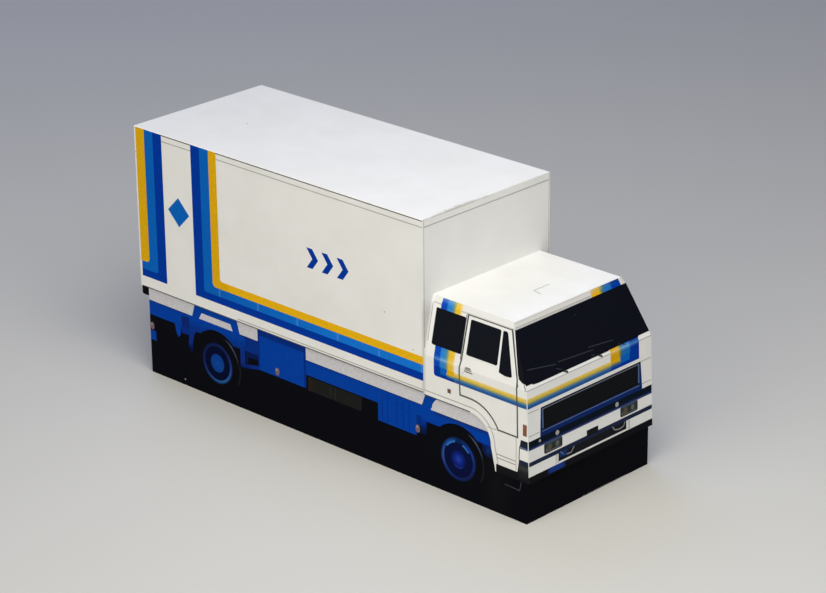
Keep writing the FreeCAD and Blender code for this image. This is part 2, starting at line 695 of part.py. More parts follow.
def cab_upper_print():
    """The leaning side and the band above it: upright stripes, windows and the door's upper lines."""
    upper = cab_upper
    cab_upright_stripes(upper, -overrun)
    upper.ink(lines, upper.line(upper_door_rear_shares, door_line),
              upper.line(upper_door_front_shares, door_line), upper.line(upper_door_top_shares, fine_line))
    upper.ink(windows, upper.patch(*rear_window_shares, window_turn),
              softened(upper.area(door_window_shares), window_turn),
              softened(upper.area(quarter_window_shares), window_turn), upper.area(screen_wrap_shares))
    length, height = upper.length, upper.height
    outline = figure([Vector(0, crease, 0), Vector(length - crease, crease, 0),
                      Vector(length - screen_rake - crease, height - crease, 0), Vector(0, height - crease, 0)])
    band = cab_side_band
    cab_upright_stripes(band, -overrun)
    band_outline = figure([Vector(0, crease, 0), Vector(band.length - crack, crease, 0),
                           Vector(band.length - band_rake - crack, band.height - crack, 0),
                           Vector(0, band.height - crack, 0)])
    return upper.layers(outline), band.layers(band_outline)


def front_uprights(panel, foot):
    """The upright stripes on the cab's front, on its left half."""
    middle = panel.length / 2
    top = panel.height + overrun
    for i, node in enumerate((dark_blue, light_blue, yellow)):
        end = middle + front_stripe_reach - i * front_stripe
        panel.ink(node, rectangle(Vector(end - front_stripe, foot, 0), Vector(end, top, 0)))


sill_top_share = 0.075
front_sill_share = (-0.1, -0.1), (1.1, sill_top_share)
blue_patch_shares = (0.145, 0.015), (0.285, sill_top_share)
centre_black_shares = (0.233, 0.0985), (0.782, 0.195)
navy_shares = (-0.1, 0.187), (1.1, 0.232)
notch_shares = (0.46, 0.215), (0.552, 0.285)
headlamp_shares = (0.1215, 0.249), (0.265, 0.362)
bumper_top_shares = (-0.1, 0.372), (1.1, 0.456)
apron_shares = [(0.094, 0.456), (0.103, 0.766), (0.908, 0.766), (0.918, 0.456)]
apron_top_shares = [(0.1025, 0.751), (0.103, 0.766), (0.908, 0.766), (0.9084, 0.751)]
grille_rim_shares = (0.1116, 0.519), (0.896, 0.751)
grille_field_shares = (0.1215, 0.532), (0.8845, 0.739)
front_lamp_shares = [(0.226, 0.42), (0.707, 0.416)]
screen_glass_shares = (-0.1, 0.085), (1.1, 1.1)


def cab_front_print():
    """The front: belt stripes, grille, bumper and lamps, then the windscreen and the band above it."""
    front = cab_front
    middle = body_half
    heights = (belt_stripe_foot, belt_stripe_foot + belt_dark, belt_stripe_foot + belt_dark + belt_light)
    for i, node in enumerate((dark_blue, light_blue, yellow)):
        corner = Vector(middle + front_stripe_reach - i * front_stripe, cab_low_height + overrun, 0)
        front.ink(node, rectangle(Vector(-overrun, heights[i], 0), corner))
    bare_corner = Vector(middle + front_stripe_reach - 3 * front_stripe, cab_low_height + overrun, 0)
    front.ink(bare, rectangle(Vector(-overrun, heights[-1] + belt_yellow, 0), bare_corner))
    front.ink(bumper_black, front.patch(*front_sill_share), front.patch(*centre_black_shares),
              front.patch(*bumper_top_shares))
    front.ink(bumper_navy, front.patch(*navy_shares), front.area(apron_shares))
    front.ink(bumper_black, front.patch(*notch_shares), front.area(apron_top_shares))
    front.ink(chassis_blue, front.patch(*blue_patch_shares))
    front.ink(grille_frame, front.patch(*grille_rim_shares))
    front.ink(grille, front.patch(*grille_field_shares))
    (left, low), (right, high) = headlamp_shares
    front.ink(headlamps, front.patch((left, low), (right, high), lamp_turn),
              front.patch((1 - right, low), (1 - left, high), lamp_turn))
    front.ink(bare, *[disc(front.at(u, v), small_lamp_radius) for u, v in front_lamp_shares])
    outline = merged([rectangle(Vector(crack, 0, 0), Vector(body_width - crack, front.height - crease, 0)),
                      rectangle(Vector(crease, 0, 0), Vector(body_width - crease, bare_corner_foot, 0))])
    screen = windscreen
    front_uprights(screen, -overrun)
    screen.ink(windows, screen.patch(*screen_glass_shares))
    screen_outline = figure([Vector(crease, crease, 0), Vector(screen.length - crease, crease, 0),
                             Vector(screen.length - side_lean - crease, screen.height - crease, 0),
                             Vector(side_lean + crease, screen.height - crease, 0)])
    band = cab_front_band
    front_uprights(band, -overrun)
    band_outline = figure([Vector(crack, crease, 0), Vector(band.length - crack, crease, 0),
                           Vector(band.length - band_lean - crack, band.height - crack, 0),
                           Vector(band_lean + crack, band.height - crack, 0)])
    return front.layers(outline), screen.layers(screen_outline), band.layers(band_outline)


def collect(nodes, layers, mirrored):
    """Add a face's layers to their nodes, for one side or for both."""
    for node, solids in layers.items():
        nodes.setdefault(node, []).extend(both_sides(solids) if mirrored else solids)


def main():
    inner_top = chassis_height + cargo_height - card
    save("chassis_skirt", [chassis_skirt()])
    save("chassis_deck", [chassis_deck()])
    save("skirt_glue_tabs", skirt_tabs())
    save("cargo_sides_and_roof", [cargo_wrap()])
    save("cargo_floor", [cargo_plate(rear_x + card, cab_rear_x - card, chassis_height, chassis_height + card)])
    save("cargo_rear_wall", [cargo_plate(rear_x, rear_x + card, chassis_height, inner_top)])
    save("cargo_front_wall", [cargo_plate(cab_rear_x - card, cab_rear_x, chassis_height, inner_top)])
    save("rear_bar", [rear_bar()])
    save("cab_shell", [cab_shell()])
    nodes = {}
    for layers in (chassis_print(), cargo_side_print(), cab_side_print(), *cab_upper_print()):
        collect(nodes, layers, True)
    for layers in (*chassis_end_print(), *cargo_end_print(), *cab_front_print()):
        collect(nodes, layers, False)
    for node, solids in nodes.items():
        save(node, [merged(solids)])


main()
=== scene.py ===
import json
import math

import bmesh
import bpy
from mathutils import Matrix, Vector


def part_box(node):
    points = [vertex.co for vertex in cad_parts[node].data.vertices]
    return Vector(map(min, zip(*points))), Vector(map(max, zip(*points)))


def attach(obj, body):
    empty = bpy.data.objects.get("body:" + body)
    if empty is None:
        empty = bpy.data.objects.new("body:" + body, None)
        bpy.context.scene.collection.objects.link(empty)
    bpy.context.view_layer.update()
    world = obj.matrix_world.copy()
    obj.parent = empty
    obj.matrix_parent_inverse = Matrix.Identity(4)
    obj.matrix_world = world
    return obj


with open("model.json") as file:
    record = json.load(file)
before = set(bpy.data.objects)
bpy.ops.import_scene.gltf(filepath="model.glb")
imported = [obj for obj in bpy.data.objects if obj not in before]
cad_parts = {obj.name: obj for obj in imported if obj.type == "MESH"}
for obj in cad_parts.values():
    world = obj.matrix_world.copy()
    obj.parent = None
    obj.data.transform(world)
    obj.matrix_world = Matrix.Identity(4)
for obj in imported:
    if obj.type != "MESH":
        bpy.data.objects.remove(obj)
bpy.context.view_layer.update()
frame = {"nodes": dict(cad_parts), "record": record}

# A truck folded from printed card, 75 mm long. Lengths are in millimetres, and mm turns them to metres.
mm = 0.001
nodes = frame["nodes"]

# Sizes of the card model that the print follows
cab_low, cab_high = [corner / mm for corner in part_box("cab_shell")]
skirt_low, skirt_high = [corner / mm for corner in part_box("chassis_skirt")]
cargo_low, cargo_high = [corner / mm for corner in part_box("cargo_sides_and_roof")]
half = cab_high.y
card = 0.2
belt_height = 19.0          # where the cab's upper faces start to lean in
gutter_height = 26.1        # where the narrow band round its roof starts
front_rake = 0.57           # of the cab's front, from its foot to the belt
screen_rake = 3.3           # of the windscreen, from the belt to the gutter
band_rake = 0.6             # of the band above it, from the gutter to the roof
side_rake = 1.55            # of the cab's sides, from the belt to the gutter
screen_foot = cab_high.x - front_rake
screen_top = screen_foot - screen_rake
front_lean = front_rake / (belt_height - cab_low.z)
screen_lean = screen_rake / (gutter_height - belt_height)
band_lean = band_rake / (cab_high.z - gutter_height)
side_lean = side_rake / (gutter_height - belt_height)
wheel_middle = 5.5          # height of the printed axles
rear_axle = -21.9
front_axle = 24.95

# Real sizes of what gives the surfaces their look
fibre = 0.2                 # a bundle of paper fibres; single ones, 0.02 wide, are too fine to show
fibre_relief = 0.012
bare_relief_share = 0.35    # of that relief on bare card, and under print, which fills it
print_relief_share = 0.2
formation = 5.0             # the cloudy patches of thick and thin in a sheet
toner_fleck = 0.35          # real flecks are 0.05 to 0.1; drawn coarser, so that they show
mottle = 0.07               # how much lighter and darker they make the print
sag = 18.0                  # slow waves in a panel of thin card
sag_relief = 0.05
joint_shade = 0.45          # half width of the painted shade in the joint between cab and cargo box
joint_fade = 2.4            # height below the cab roof in which that shade sets in
joint_strength = 0.4
seam_shade = 0.05           # half width of the painted shade in the seam beside the cargo box's front wall
fold_reach = 0.09           # width of the ink, and of the painted shade along the gutter, on each side of a fold
crease_reach = 0.07         # half width of the shade in the crease across the front
fold_wear_and_highlight = 0.4             # share by which the print pales along the belt: partly worn at the fold, partly a painted highlight
fray = 0.9                  # length of the rough fibres along the cargo roof's front edge
fray_onset, fray_full = 0.12, 0.4
fray_strength = 0.5
tick_start = -20.7          # pale marks in the light blue run, one at every pitch
tick_pitch = 7.85
tick = 0.22
tick_wear = 0.17            # share of the print that's gone there
hub_reach = 2.0
hub_radius = 1.4
ring_edge = 2.88            # where the rim's ring darkens outwards
ring_edge_strength = 0.6

# Directions along which print changes
forward, sideways, upward = (1, 0, 0), (0, 1, 0), (0, 0, 1)
past_pillar = (1, 0, screen_lean)

# Zones where the print's tone changes: the middle and half width of each, along the axis in its name
front_x = (37.6, 0.4)               # the cab's front below the belt
whole_front_x = (37.6, 1.0)
gutter_front_x = (screen_top, 1.0)
screen_band_x = (screen_top, 0.49)  # the band above the windscreen
past_screen_x = (35.2, 2.8)         # the front's stripes, up to the windscreen's top
band_z = (26.53, 0.4)               # the band round the cab's roof
pillar_z = (23.0, 3.1)              # the fold between windscreen and side
corner_foot_z = (6.45, 0.5)         # the foot of the fold between front and side
bumper_end_x = (36.8, 1.0)          # the bumper's ends on the cab's sides
upright_z = (22.5, 4.55)            # the upright stripes
beside_x = (22.6, 2.1)              # those on the cab's sides
front_set_y = (7.05, 3.1)           # those on its front
belt_x = (31.1, 6.7)                # the run round the belt
belt_z = (17.2, 0.72)
belt_front_y = (-4.2, 8.35)
belt_wear_and_highlight_z = (19.05, 0.42)         # the fold above it, partly worn and partly a painted highlight
front_turn_y = (5.13, 1.0)          # where the run turns up on the front
front_turn_z = (17.1, 0.4)
side_turn_x = (23.72, 0.68)         # and on the cab's sides
side_turn_z = (17.12, 0.42)
yellow_run_z = (17.93, 0.6)         # the runs along the cargo box
light_run_z = (16.75, 0.55)
rear_guard_x = (-20.9, 7.6)         # the frame's dimmer parts beside the wheels
front_guard_x = (20.0, 2.3)
fray_y = (-6.0, 10.0)               # the rough stretch of the cargo roof's edge


# Colours and nodes
def linear(hex_colour):
    """An sRGB hex value as linear red, green, blue and alpha."""
    parts = [int(hex_colour[i:i + 2], 16) / 255 for i in (1, 3, 5)]
    return [p / 12.92 if p <= 0.04045 else ((p + 0.055) / 1.055) ** 2.4 for p in parts] + [1.0]


def add(tree, kind, inputs, stops=(), **settings):
    """Add a node with its settings, a ramp's stops, and its inputs as values or links."""
    node = tree.nodes.new("ShaderNode" + kind)
    for name, value in settings.items():
        setattr(node, name, value)
    for i, (place, colour) in enumerate(stops):
        stop = node.color_ramp.elements[i] if i < 2 else node.color_ramp.elements.new(place)
        stop.position = place
        stop.color = linear(colour)
    for name, value in inputs.items():
        if isinstance(value, bpy.types.NodeSocket):
            tree.links.new(value, node.inputs[name])
        else:
            node.inputs[name].default_value = value
    return node


def new_material(name):
    """An empty material, its node tree, and the place on the model in millimetres."""
    material = bpy.data.materials.new(name)
    material.use_nodes = True
    tree = material.node_tree
    tree.nodes.clear()
    metres = add(tree, "TexCoord", {}).outputs["Object"]
    place = add(tree, "VectorMath", {0: metres, "Scale": 1 / mm}, operation="SCALE")
    return material, tree, place.outputs["Vector"]


def measures(tree, place):
    """The x, y and z of a place on the model, and its distance from the middle plane."""
    x, y, z = add(tree, "SeparateXYZ", {"Vector": place}).outputs
    aside = add(tree, "Math", {0: y}, operation="ABSOLUTE").outputs[0]
    return x, y, z, aside


def card_relief(tree, place, depth):
    """Fibres that stand up a little, on slow waves of the sheet."""
    wave = add(tree, "TexNoise", {"Vector": place, "Scale": 1 / sag, "Detail": 0.0})
    grain = add(tree, "TexNoise", {"Vector": place, "Scale": 1 / fibre, "Detail": 3.0, "Roughness": 0.6})
    slow = add(tree, "Bump", {"Height": wave.outputs["Fac"], "Distance": sag_relief * mm, "Strength": 1.0})
    rough = add(tree, "Bump", {"Height": grain.outputs["Fac"], "Distance": fibre_relief * mm,
                               "Strength": depth, "Normal": slow.outputs["Normal"]})
    return rough.outputs["Normal"]


def near(tree, value, middle, reach):
    """How near a value is to a middle: 1 there, and 0 at a reach on either side."""
    offset = add(tree, "Math", {0: value, 1: middle}, operation="SUBTRACT")
    size = add(tree, "Math", {0: offset.outputs[0]}, operation="ABSOLUTE")
    share = add(tree, "MapRange", {"Value": size.outputs[0], "From Min": reach, "From Max": 0.0})
    return share.outputs["Result"]


def overlap(tree, first, *others):
    """Where several masks hold at once, at a strength that may be the last of them."""
    for other in others:
        first = add(tree, "Math", {0: first, 1: other}, operation="MULTIPLY").outputs[0]
    return first


def within(tree, *limits):
    """1 where each value lies within a reach of its middle, and 0 elsewhere."""
    tests = [add(tree, "Math", {0: value, 1: middle, 2: reach}, operation="COMPARE").outputs[0]
             for value, middle, reach in limits]
    return overlap(tree, *tests)


def painted(tree, colour, layers):
    """A colour with others over it, each where its mask is 1. A Mix has its colours at 6, 7 and 2."""
    for mask, over in layers:
        over = linear(over) if isinstance(over, str) else over
        colour = add(tree, "Mix", {0: mask, 6: colour, 7: over}, data_type="RGBA").outputs[2]
    return colour


# Bare card
# Specks of dirt on it: where each lies, and its radius
specks = [((-26.27, -1.09, 37.8), 0.1), ((11.76, -12.55, 22.96), 0.09), ((17.04, -12.55, 19.01), 0.08),
          ((-37.45, -12.55, 33.89), 0.07), ((-37.37, -12.55, 33.17), 0.06)]
# The stripes' ink in the fold at the gutter, on the sides by x and on the front by y
side_crossings = [((21.33, 0.6), "#0C48BA"), ((22.53, 0.6), "#2C82D6"), ((23.73, 0.6), "#ECBE24")]
front_crossings = [((8.975, 0.975), "#0038A2"), ((7.025, 0.975), "#0864C2"), ((5.075, 0.975), "#E2AD12")]


def painted_joint_shade_layers(tree, x, aside, z):
    """Painted shade in the joint between cab and cargo box, and darker painted shade in the seam beside the
    box's front wall.
    """
    fade = add(tree, "MapRange", {"Value": z, "From Min": cab_high.z, "From Max": cab_high.z - joint_fade})
    above_skirt = add(tree, "Math", {0: z, 1: cargo_low.z}, operation="GREATER_THAN")
    beside_cab = overlap(tree, fade.outputs["Result"], above_skirt.outputs[0])
    # Painted shade: grey in the joint, fading out below the cab's roof, and darker in the seam
    joint = overlap(tree, near(tree, x, cab_low.x, joint_shade), beside_cab, joint_strength)
    at_wall = within(tree, (x, cab_low.x, seam_shade))
    seam = overlap(tree, near(tree, aside, half - card, seam_shade), at_wall)
    return [(joint, "#8F8C88"), (seam, "#55504A")]


def band_layers(tree, x, y, z):
    """The band round the cab's roof, dimmer than its faces, ink and painted shade in the fold below it, and
    painted shade in the crease across the front.
    """
    on_cab = (x, (cab_low.x + cab_high.x) / 2, (cab_high.x - cab_low.x) / 2 - joint_shade)
    on_band = (z, *band_z)
    at_gutter = (z, gutter_height, fold_reach)
    on_gutter_front = (x, *gutter_front_x)
    layers = [(within(tree, on_band, on_cab), "#E2E1DE"),
              (within(tree, on_band, (x, *screen_band_x)), "#D6D3D0"),
              # Painted shade: grey along the gutter's fold, and in the crease across the front at the belt
              (within(tree, at_gutter, on_cab), "#C4C2BE"),
              (within(tree, (z, belt_height, crease_reach), (x, *whole_front_x)), "#BAB6B3")]
    layers += [(within(tree, at_gutter, (x, *zone)), colour) for zone, colour in side_crossings]
    layers += [(within(tree, at_gutter, (y, *zone), on_gutter_front), colour)
               for zone, colour in front_crossings]
    return layers


def corner_layers(tree, x, aside, z):
    """Ink in the folds between the windscreen and the sides, and at the foot of the front corners."""
    folded = add(tree, "CombineXYZ", {"X": x, "Y": aside, "Z": z}).outputs["Vector"]
    layers = []
    for lean, foot, start, zone in ((screen_lean + side_lean, screen_foot + half, belt_height, pillar_z),
                                    (front_lean, cab_high.x + half, cab_low.z, corner_foot_z)):
        outwards = add(tree, "VectorMath", {0: folded, 1: (1.0, 1.0, lean)}, operation="DOT_PRODUCT")
        fold = within(tree, (outwards.outputs["Value"], foot + lean * start, fold_reach), (z, *zone))
        layers.append((fold, "#0C0D14"))
    return layers


def frayed_layer(tree, place, x, y, z):
    """Rough fibres along the cargo roof's front edge, where the card was torn a little."""
    tuft = add(tree, "TexNoise", {"Vector": place, "Scale": 1 / fray, "Detail": 2.0})
    edge = overlap(tree, near(tree, x, cab_low.x, fray), near(tree, y, *fray_y))
    rough = overlap(tree, edge, within(tree, (z, cargo_high.z, card)), tuft.outputs["Fac"])
    torn = add(tree, "MapRange", {"Value": rough, "From Min": fray_onset, "From Max": fray_full,
                                  "To Max": fray_strength})
    return torn.outputs["Result"], "#A0978A"


def speck_layer(tree, place, middle, size):
    """A speck of dirt."""
    apart = add(tree, "VectorMath", {0: place, 1: middle}, operation="DISTANCE")
    return within(tree, (apart.outputs["Value"], 0.0, size)), "#6A655E"


def bare_card(name):
    """Uncoated white card of about 180 grams, rolled from pulp.

    It's dull, faintly cloudy where its fibres lie thick or thin, inked in some creases, and given painted
    shade in other creases and in its joints."""
    material, tree, place = new_material(name)
    cloud = add(tree, "TexNoise", {"Vector": place, "Scale": 1 / formation, "Detail": 3.0})
    tint = add(tree, "ValToRGB", {"Fac": cloud.outputs["Fac"]}, stops=[(0.3, "#F1F0EE"), (0.7, "#ECEBE8")])
    x, y, z, aside = measures(tree, place)
    layers = painted_joint_shade_layers(tree, x, aside, z) + band_layers(tree, x, y, z) + corner_layers(tree, x, aside, z)
    layers += [frayed_layer(tree, place, x, y, z)]
    layers += [speck_layer(tree, place, middle, size) for middle, size in specks]
    shader = add(tree, "BsdfPrincipled", {"Base Color": painted(tree, tint.outputs["Color"], layers),
                                          "Roughness": 0.9, "Specular IOR Level": 0.15,
                                          "Normal": card_relief(tree, place, bare_relief_share)})
    add(tree, "OutputMaterial", {"Surface": shader.outputs["BSDF"]})
    return material


# Print
def toner(name, paint):
    """Colour laser print: toner melted on to the card in a thin film.

    It's flat and dull, follows the fibres, and is a little mottled where the toner lies thick or thin.
    Paint is one colour, or makes the colour from the place on the model."""
    material, tree, place = new_material(name)
    fleck = add(tree, "TexNoise", {"Vector": place, "Scale": 1 / toner_fleck, "Detail": 2.0})
    depth = add(tree, "MapRange", {"Value": fleck.outputs["Fac"], "From Min": 0.3, "From Max": 0.7,
                                   "To Min": 1 - mottle, "To Max": 1 + mottle})
    solid = linear(paint) if isinstance(paint, str) else paint(tree, place)
    colour = add(tree, "HueSaturation", {"Color": solid, "Value": depth.outputs["Result"]})
    shader = add(tree, "BsdfPrincipled", {"Base Color": colour.outputs["Color"],
                                          "Roughness": 0.6, "Specular IOR Level": 0.02,
                                          "Normal": card_relief(tree, place, print_relief_share)})
    add(tree, "OutputMaterial", {"Surface": shader.outputs["BSDF"]})
    return material


def graded(direction, shades):
    """Print whose colour changes along a direction, from colours at places in millimetres."""
    first, last = shades[0][0], shades[-1][0]

    def paint(tree, place):
        along = add(tree, "VectorMath", {0: place, 1: direction}, operation="DOT_PRODUCT")
        share = add(tree, "MapRange", {"Value": along.outputs["Value"], "From Min": first, "From Max": last})
        stops = [((at - first) / (last - first), colour) for at, colour in shades]
        return add(tree, "ValToRGB", {"Fac": share.outputs["Result"]}, stops=stops).outputs["Color"]
    return paint


# The three stripes side by side, which run into each other a little: by z round the cab's belt,
# by x beside the cab and on its roof band, and by y on its front and the roof band there
belt_shades = [(16.7, "#24589F"), (16.9, "#3468A8"), (17.06, "#587E94"), (17.2, "#82937A"),
               (17.34, "#BEB05A"), (17.48, "#DFBE4C"), (17.7, "#E8CA64"), (17.85, "#EDD48A")]
beside_shades = [(21.7, "#0C48BA"), (21.95, "#2C82D6"), (22.45, "#3284D0"), (22.7, "#408AB8"),
                 (22.95, "#5E8E90"), (23.15, "#A49C70"), (23.35, "#DCBA4C"), (23.55, "#E8C02C"),
                 (23.95, "#EABE34"), (24.2, "#F0CC78")]
# On the roof band the stripes turn paler towards the roof: partly the print fading at its top edge, partly
# painted light on the band, which leans back towards the lamps
beside_band_shades = [(21.1, "#547DBA"), (21.5, "#5685C2"), (21.85, "#73A0CF"), (22.4, "#73A5D4"),
                      (22.7, "#85A9B4"), (22.95, "#A5B38F"), (23.2, "#CDC273"), (23.5, "#E2C25D"),
                      (23.85, "#E2C276"), (24.2, "#E9D7B4")]
front_shades = [(5.55, "#E0A812"), (5.85, "#B2A838"), (6.1, "#667C51"), (6.35, "#406D84"), (6.65, "#2C6CAF"),
                (6.9, "#1C70BC"), (7.85, "#1C6EBC"), (8.3, "#0238A0")]
# Paler on the roof band across the front too: partly painted light, as above
front_band_shades = [(4.1, "#D3CDC4"), (4.5, "#C4BA94"), (4.9, "#CCB570"), (5.7, "#CDAF66"),
                     (6.15, "#B4B076"), (6.5, "#6E8A6E"), (6.9, "#4A7288"), (7.2, "#3A70AC"),
                     (7.9, "#3A6CA8"), (8.4, "#1C4E90"), (8.7, "#123E88")]
front_turn_shades = [(16.75, "#0440A0"), (16.9, "#1F4C97"), (17.1, "#406094"), (17.3, "#7F8654"),
                     (17.5, "#C1AA3C")]
side_turn_shades = [(16.7, "#0A3C9E"), (16.9, "#24589F"), (17.05, "#4E7C98"), (17.2, "#A89C50"),
                    (17.35, "#E0B020"), (17.5, "#E2AD12")]
light_run_shades = [(-20.0, "#0A64C0"), (-8.0, "#0E6CCC"), (3.0, "#1676D8"), (18.0, "#1676D8")]


def pale_ticks(tree, x, z):
    """Pale marks across the light blue run along the cargo box."""
    from_first = add(tree, "Math", {0: x, 1: tick_start}, operation="SUBTRACT")
    to_tick = add(tree, "Math", {0: from_first.outputs[0], 1: tick_pitch / 2}, operation="PINGPONG")
    in_run = within(tree, (z, *light_run_z), (x, 0.0, -tick_start + tick_pitch / 2))
    return overlap(tree, near(tree, to_tick.outputs[0], 0.0, tick), in_run, tick_wear)


def stripe(fresh, wear_and_highlight, run=None, ticked=False):
    """Stripe print: its own colour on the cargo box, shared shades on the cab, and pale at the belt's fold,
    partly worn and partly a painted highlight.

    Run is the colour of its run along the box, where that differs, and ticked is for the light blue one."""
    def paint(tree, place):
        x, y, z, aside = measures(tree, place)
        belt = [(x, *belt_x), (z, *belt_z)]
        beside = (x, *beside_x)
        front_set = (y, *front_set_y)
        on_cargo = (x, 0.0, cab_low.x)
        band_middle, band_reach = band_z
        # How far up the roof band a place is, where the stripes take their paler shades, partly painted
        # light
        onto_band = add(tree, "MapRange", {"Value": z, "From Min": band_middle - band_reach / 2,
                                           "From Max": band_middle + band_reach}).outputs["Result"]
        front_band = within(tree, (x, *gutter_front_x), front_set)
        zones = [(within(tree, *belt, (aside, half, seam_shade)), upward, belt_shades),
                 (within(tree, *belt, (y, *belt_front_y)), upward, belt_shades),
                 (within(tree, beside, (z, *upright_z)), forward, beside_shades),
                 (overlap(tree, within(tree, beside), onto_band), forward, beside_band_shades),
                 (within(tree, (x, *past_screen_x), (z, *upright_z), front_set), sideways, front_shades),
                 (overlap(tree, front_band, onto_band), sideways, front_band_shades),
                 (within(tree, (x, *whole_front_x), (y, *front_turn_y), (z, *front_turn_z)),
                  upward, front_turn_shades),
                 (within(tree, (x, *side_turn_x), (z, *side_turn_z)), upward, side_turn_shades)]
        if ticked:
            zones.append((within(tree, (z, *light_run_z), on_cargo), forward, light_run_shades))
        layers = [(mask, graded(direction, shades)(tree, place)) for mask, direction, shades in zones]
        if run:
            layers.append((within(tree, (z, *yellow_run_z), on_cargo), run))
        # Pale along the belt's fold: partly worn print, partly a painted highlight where the faces above
        # lean back
        on_cab = add(tree, "Math", {0: x, 1: cab_low.x}, operation="GREATER_THAN").outputs[0]
        layers.append((overlap(tree, near(tree, z, *belt_wear_and_highlight_z), on_cab, fold_wear_and_highlight), wear_and_highlight))
        if ticked:
            layers.append((pale_ticks(tree, x, z), wear_and_highlight))
        return painted(tree, linear(fresh), layers)
    return paint


def round_axle(tree, place):
    """Whether a wheel is the front one, the share of a turn round it, and the distance from its axle."""
    x, y, z = add(tree, "SeparateXYZ", {"Vector": place}).outputs
    at_front = add(tree, "Math", {0: x, 1: 0.0}, operation="GREATER_THAN").outputs[0]
    axle = add(tree, "MapRange", {"Value": at_front, "To Min": rear_axle, "To Max": front_axle})
    ahead = add(tree, "Math", {0: x, 1: axle.outputs["Result"]}, operation="SUBTRACT").outputs[0]
    above = add(tree, "Math", {0: z, 1: wheel_middle}, operation="SUBTRACT").outputs[0]
    angle = add(tree, "Math", {0: above, 1: ahead}, operation="ARCTAN2")
    turn = add(tree, "MapRange", {"Value": angle.outputs[0], "From Min": -math.pi, "From Max": math.pi})
    flat = add(tree, "CombineXYZ", {"X": ahead, "Z": above})
    far = add(tree, "VectorMath", {0: flat.outputs["Vector"]}, operation="LENGTH")
    return at_front, turn.outputs["Result"], far.outputs["Value"]


def turned(shades):
    """Shades at angles in degrees, counted upwards from straight ahead, as shades at shares of a turn."""
    return [(degrees / 360 + 0.5, colour) for degrees, colour in shades]


# The printed light on rims and hubs, round the ring by angle and out from the hub's middle by share
front_ring = turned([(-180, "#33559E"), (-140, "#18367C"), (-90, "#16225E"), (-45, "#182256"),
                     (0, "#1C2A76"), (35, "#1C3E98"), (60, "#14347E"), (90, "#0C2A5C"),
                     (125, "#1A4A8E"), (155, "#22479A"), (180, "#33559E")])
rear_ring = turned([(-180, "#14205F"), (-130, "#223F80"), (-75, "#285F9F"), (-55, "#275FA8"),
                    (-20, "#28549A"), (0, "#274189"), (50, "#18275C"), (100, "#122050"),
                    (150, "#14204F"), (180, "#14205F")])
front_hub = [(0.0, "#2846B0"), (0.3, "#163298"), (0.6, "#0A2280"), (0.8, "#0C1C5E"), (1.0, "#0C1440")]
rear_hub = [(0.0, "#0D48A4"), (0.6, "#0B4098"), (1.0, "#103C88")]
tyre_light = turned([(10, "#0A0B10"), (47, "#4A5870"), (70, "#0A0B10")])


def rim(tree, place):
    """Rims and hubs, whose printed shading turns from bright blue to indigo."""
    at_front, turn, far = round_axle(tree, place)
    outwards = add(tree, "MapRange", {"Value": far, "From Max": hub_radius}).outputs["Result"]
    shades = []
    for share, front, rear in ((turn, front_ring, rear_ring), (outwards, front_hub, rear_hub)):
        front_shade = add(tree, "ValToRGB", {"Fac": share}, stops=front).outputs["Color"]
        rear_shade = add(tree, "ValToRGB", {"Fac": share}, stops=rear).outputs["Color"]
        shades.append(painted(tree, rear_shade, [(at_front, front_shade)]))
    ring, hub = shades
    in_hub = add(tree, "Math", {0: far, 1: hub_reach}, operation="LESS_THAN").outputs[0]
    outer = add(tree, "Math", {0: far, 1: ring_edge}, operation="GREATER_THAN").outputs[0]
    on_edge = overlap(tree, outer, ring_edge_strength)
    return painted(tree, ring, [(on_edge, "#081A48"), (in_hub, hub)])


def glint(tree, place):
    """Printed light on the tyre's shoulder, brightest halfway up and lost in the black at its ends."""
    turn = round_axle(tree, place)[1]
    return add(tree, "ValToRGB", {"Fac": turn}, stops=tyre_light).outputs["Color"]


# Black by x, and by z on the cab's front, its sides and its corners
black_shades = [(29.0, "#0A0B12"), (32.0, "#110F14"), (35.0, "#0A0B12")]
front_black_shades = [(7.1, "#15151B"), (7.3, "#1D1D21"), (8.6, "#1D1D21"), (10.5, "#17191E"),
                      (10.75, "#2C3868"), (11.05, "#141C38"), (11.25, "#0B1622")]
side_black_shades = [(6.0, "#15141A"), (9.0, "#1A191E")]
corner_black_shades = [(6.2, "#18171C"), (7.4, "#262529"), (8.0, "#3C3E41"), (8.5, "#262A32"),
                       (10.8, "#2C3550"), (11.3, "#20263A"), (11.9, "#202226")]


def black(tree, place):
    """Black, a little brown or blue by turns, and greyer low on the cab where its edges are rubbed."""
    x, y, z, aside = measures(tree, place)
    on_side = (aside, half, seam_shade)
    zones = [(within(tree, (x, *front_x)), front_black_shades),
             (within(tree, on_side), side_black_shades),
             (within(tree, on_side, (x, *bumper_end_x)), corner_black_shades)]
    layers = [(mask, graded(upward, shades)(tree, place)) for mask, shades in zones]
    return painted(tree, graded(forward, black_shades)(tree, place), layers)


# The frame's blue, by z low beside the wheels, and by y on the front
rear_guard_shades = [(6.2, "#02144C"), (7.2, "#0E2E84"), (9.5, "#06338C"), (10.9, "#0240A6")]
front_guard_shades = [(7.4, "#02184C"), (8.0, "#022262"), (9.0, "#04329A"), (9.6, "#0240A6")]
front_blue_shades = [(-9.0, "#161C34"), (-8.4, "#1B3A8A"), (-6.0, "#1B3A8A"), (-5.3, "#171F3E")]


def chassis_blue(tree, place):
    """The frame's blue, dimmer low beside the wheels, and duller on the front, fading out at its sides."""
    x = add(tree, "SeparateXYZ", {"Vector": place}).outputs["X"]
    zones = [(rear_guard_x, upward, rear_guard_shades), (front_guard_x, upward, front_guard_shades),
             (front_x, sideways, front_blue_shades)]
    layers = [(within(tree, (x, *zone)), graded(direction, shades)(tree, place))
              for zone, direction, shades in zones]
    return painted(tree, linear("#0240A6"), layers)


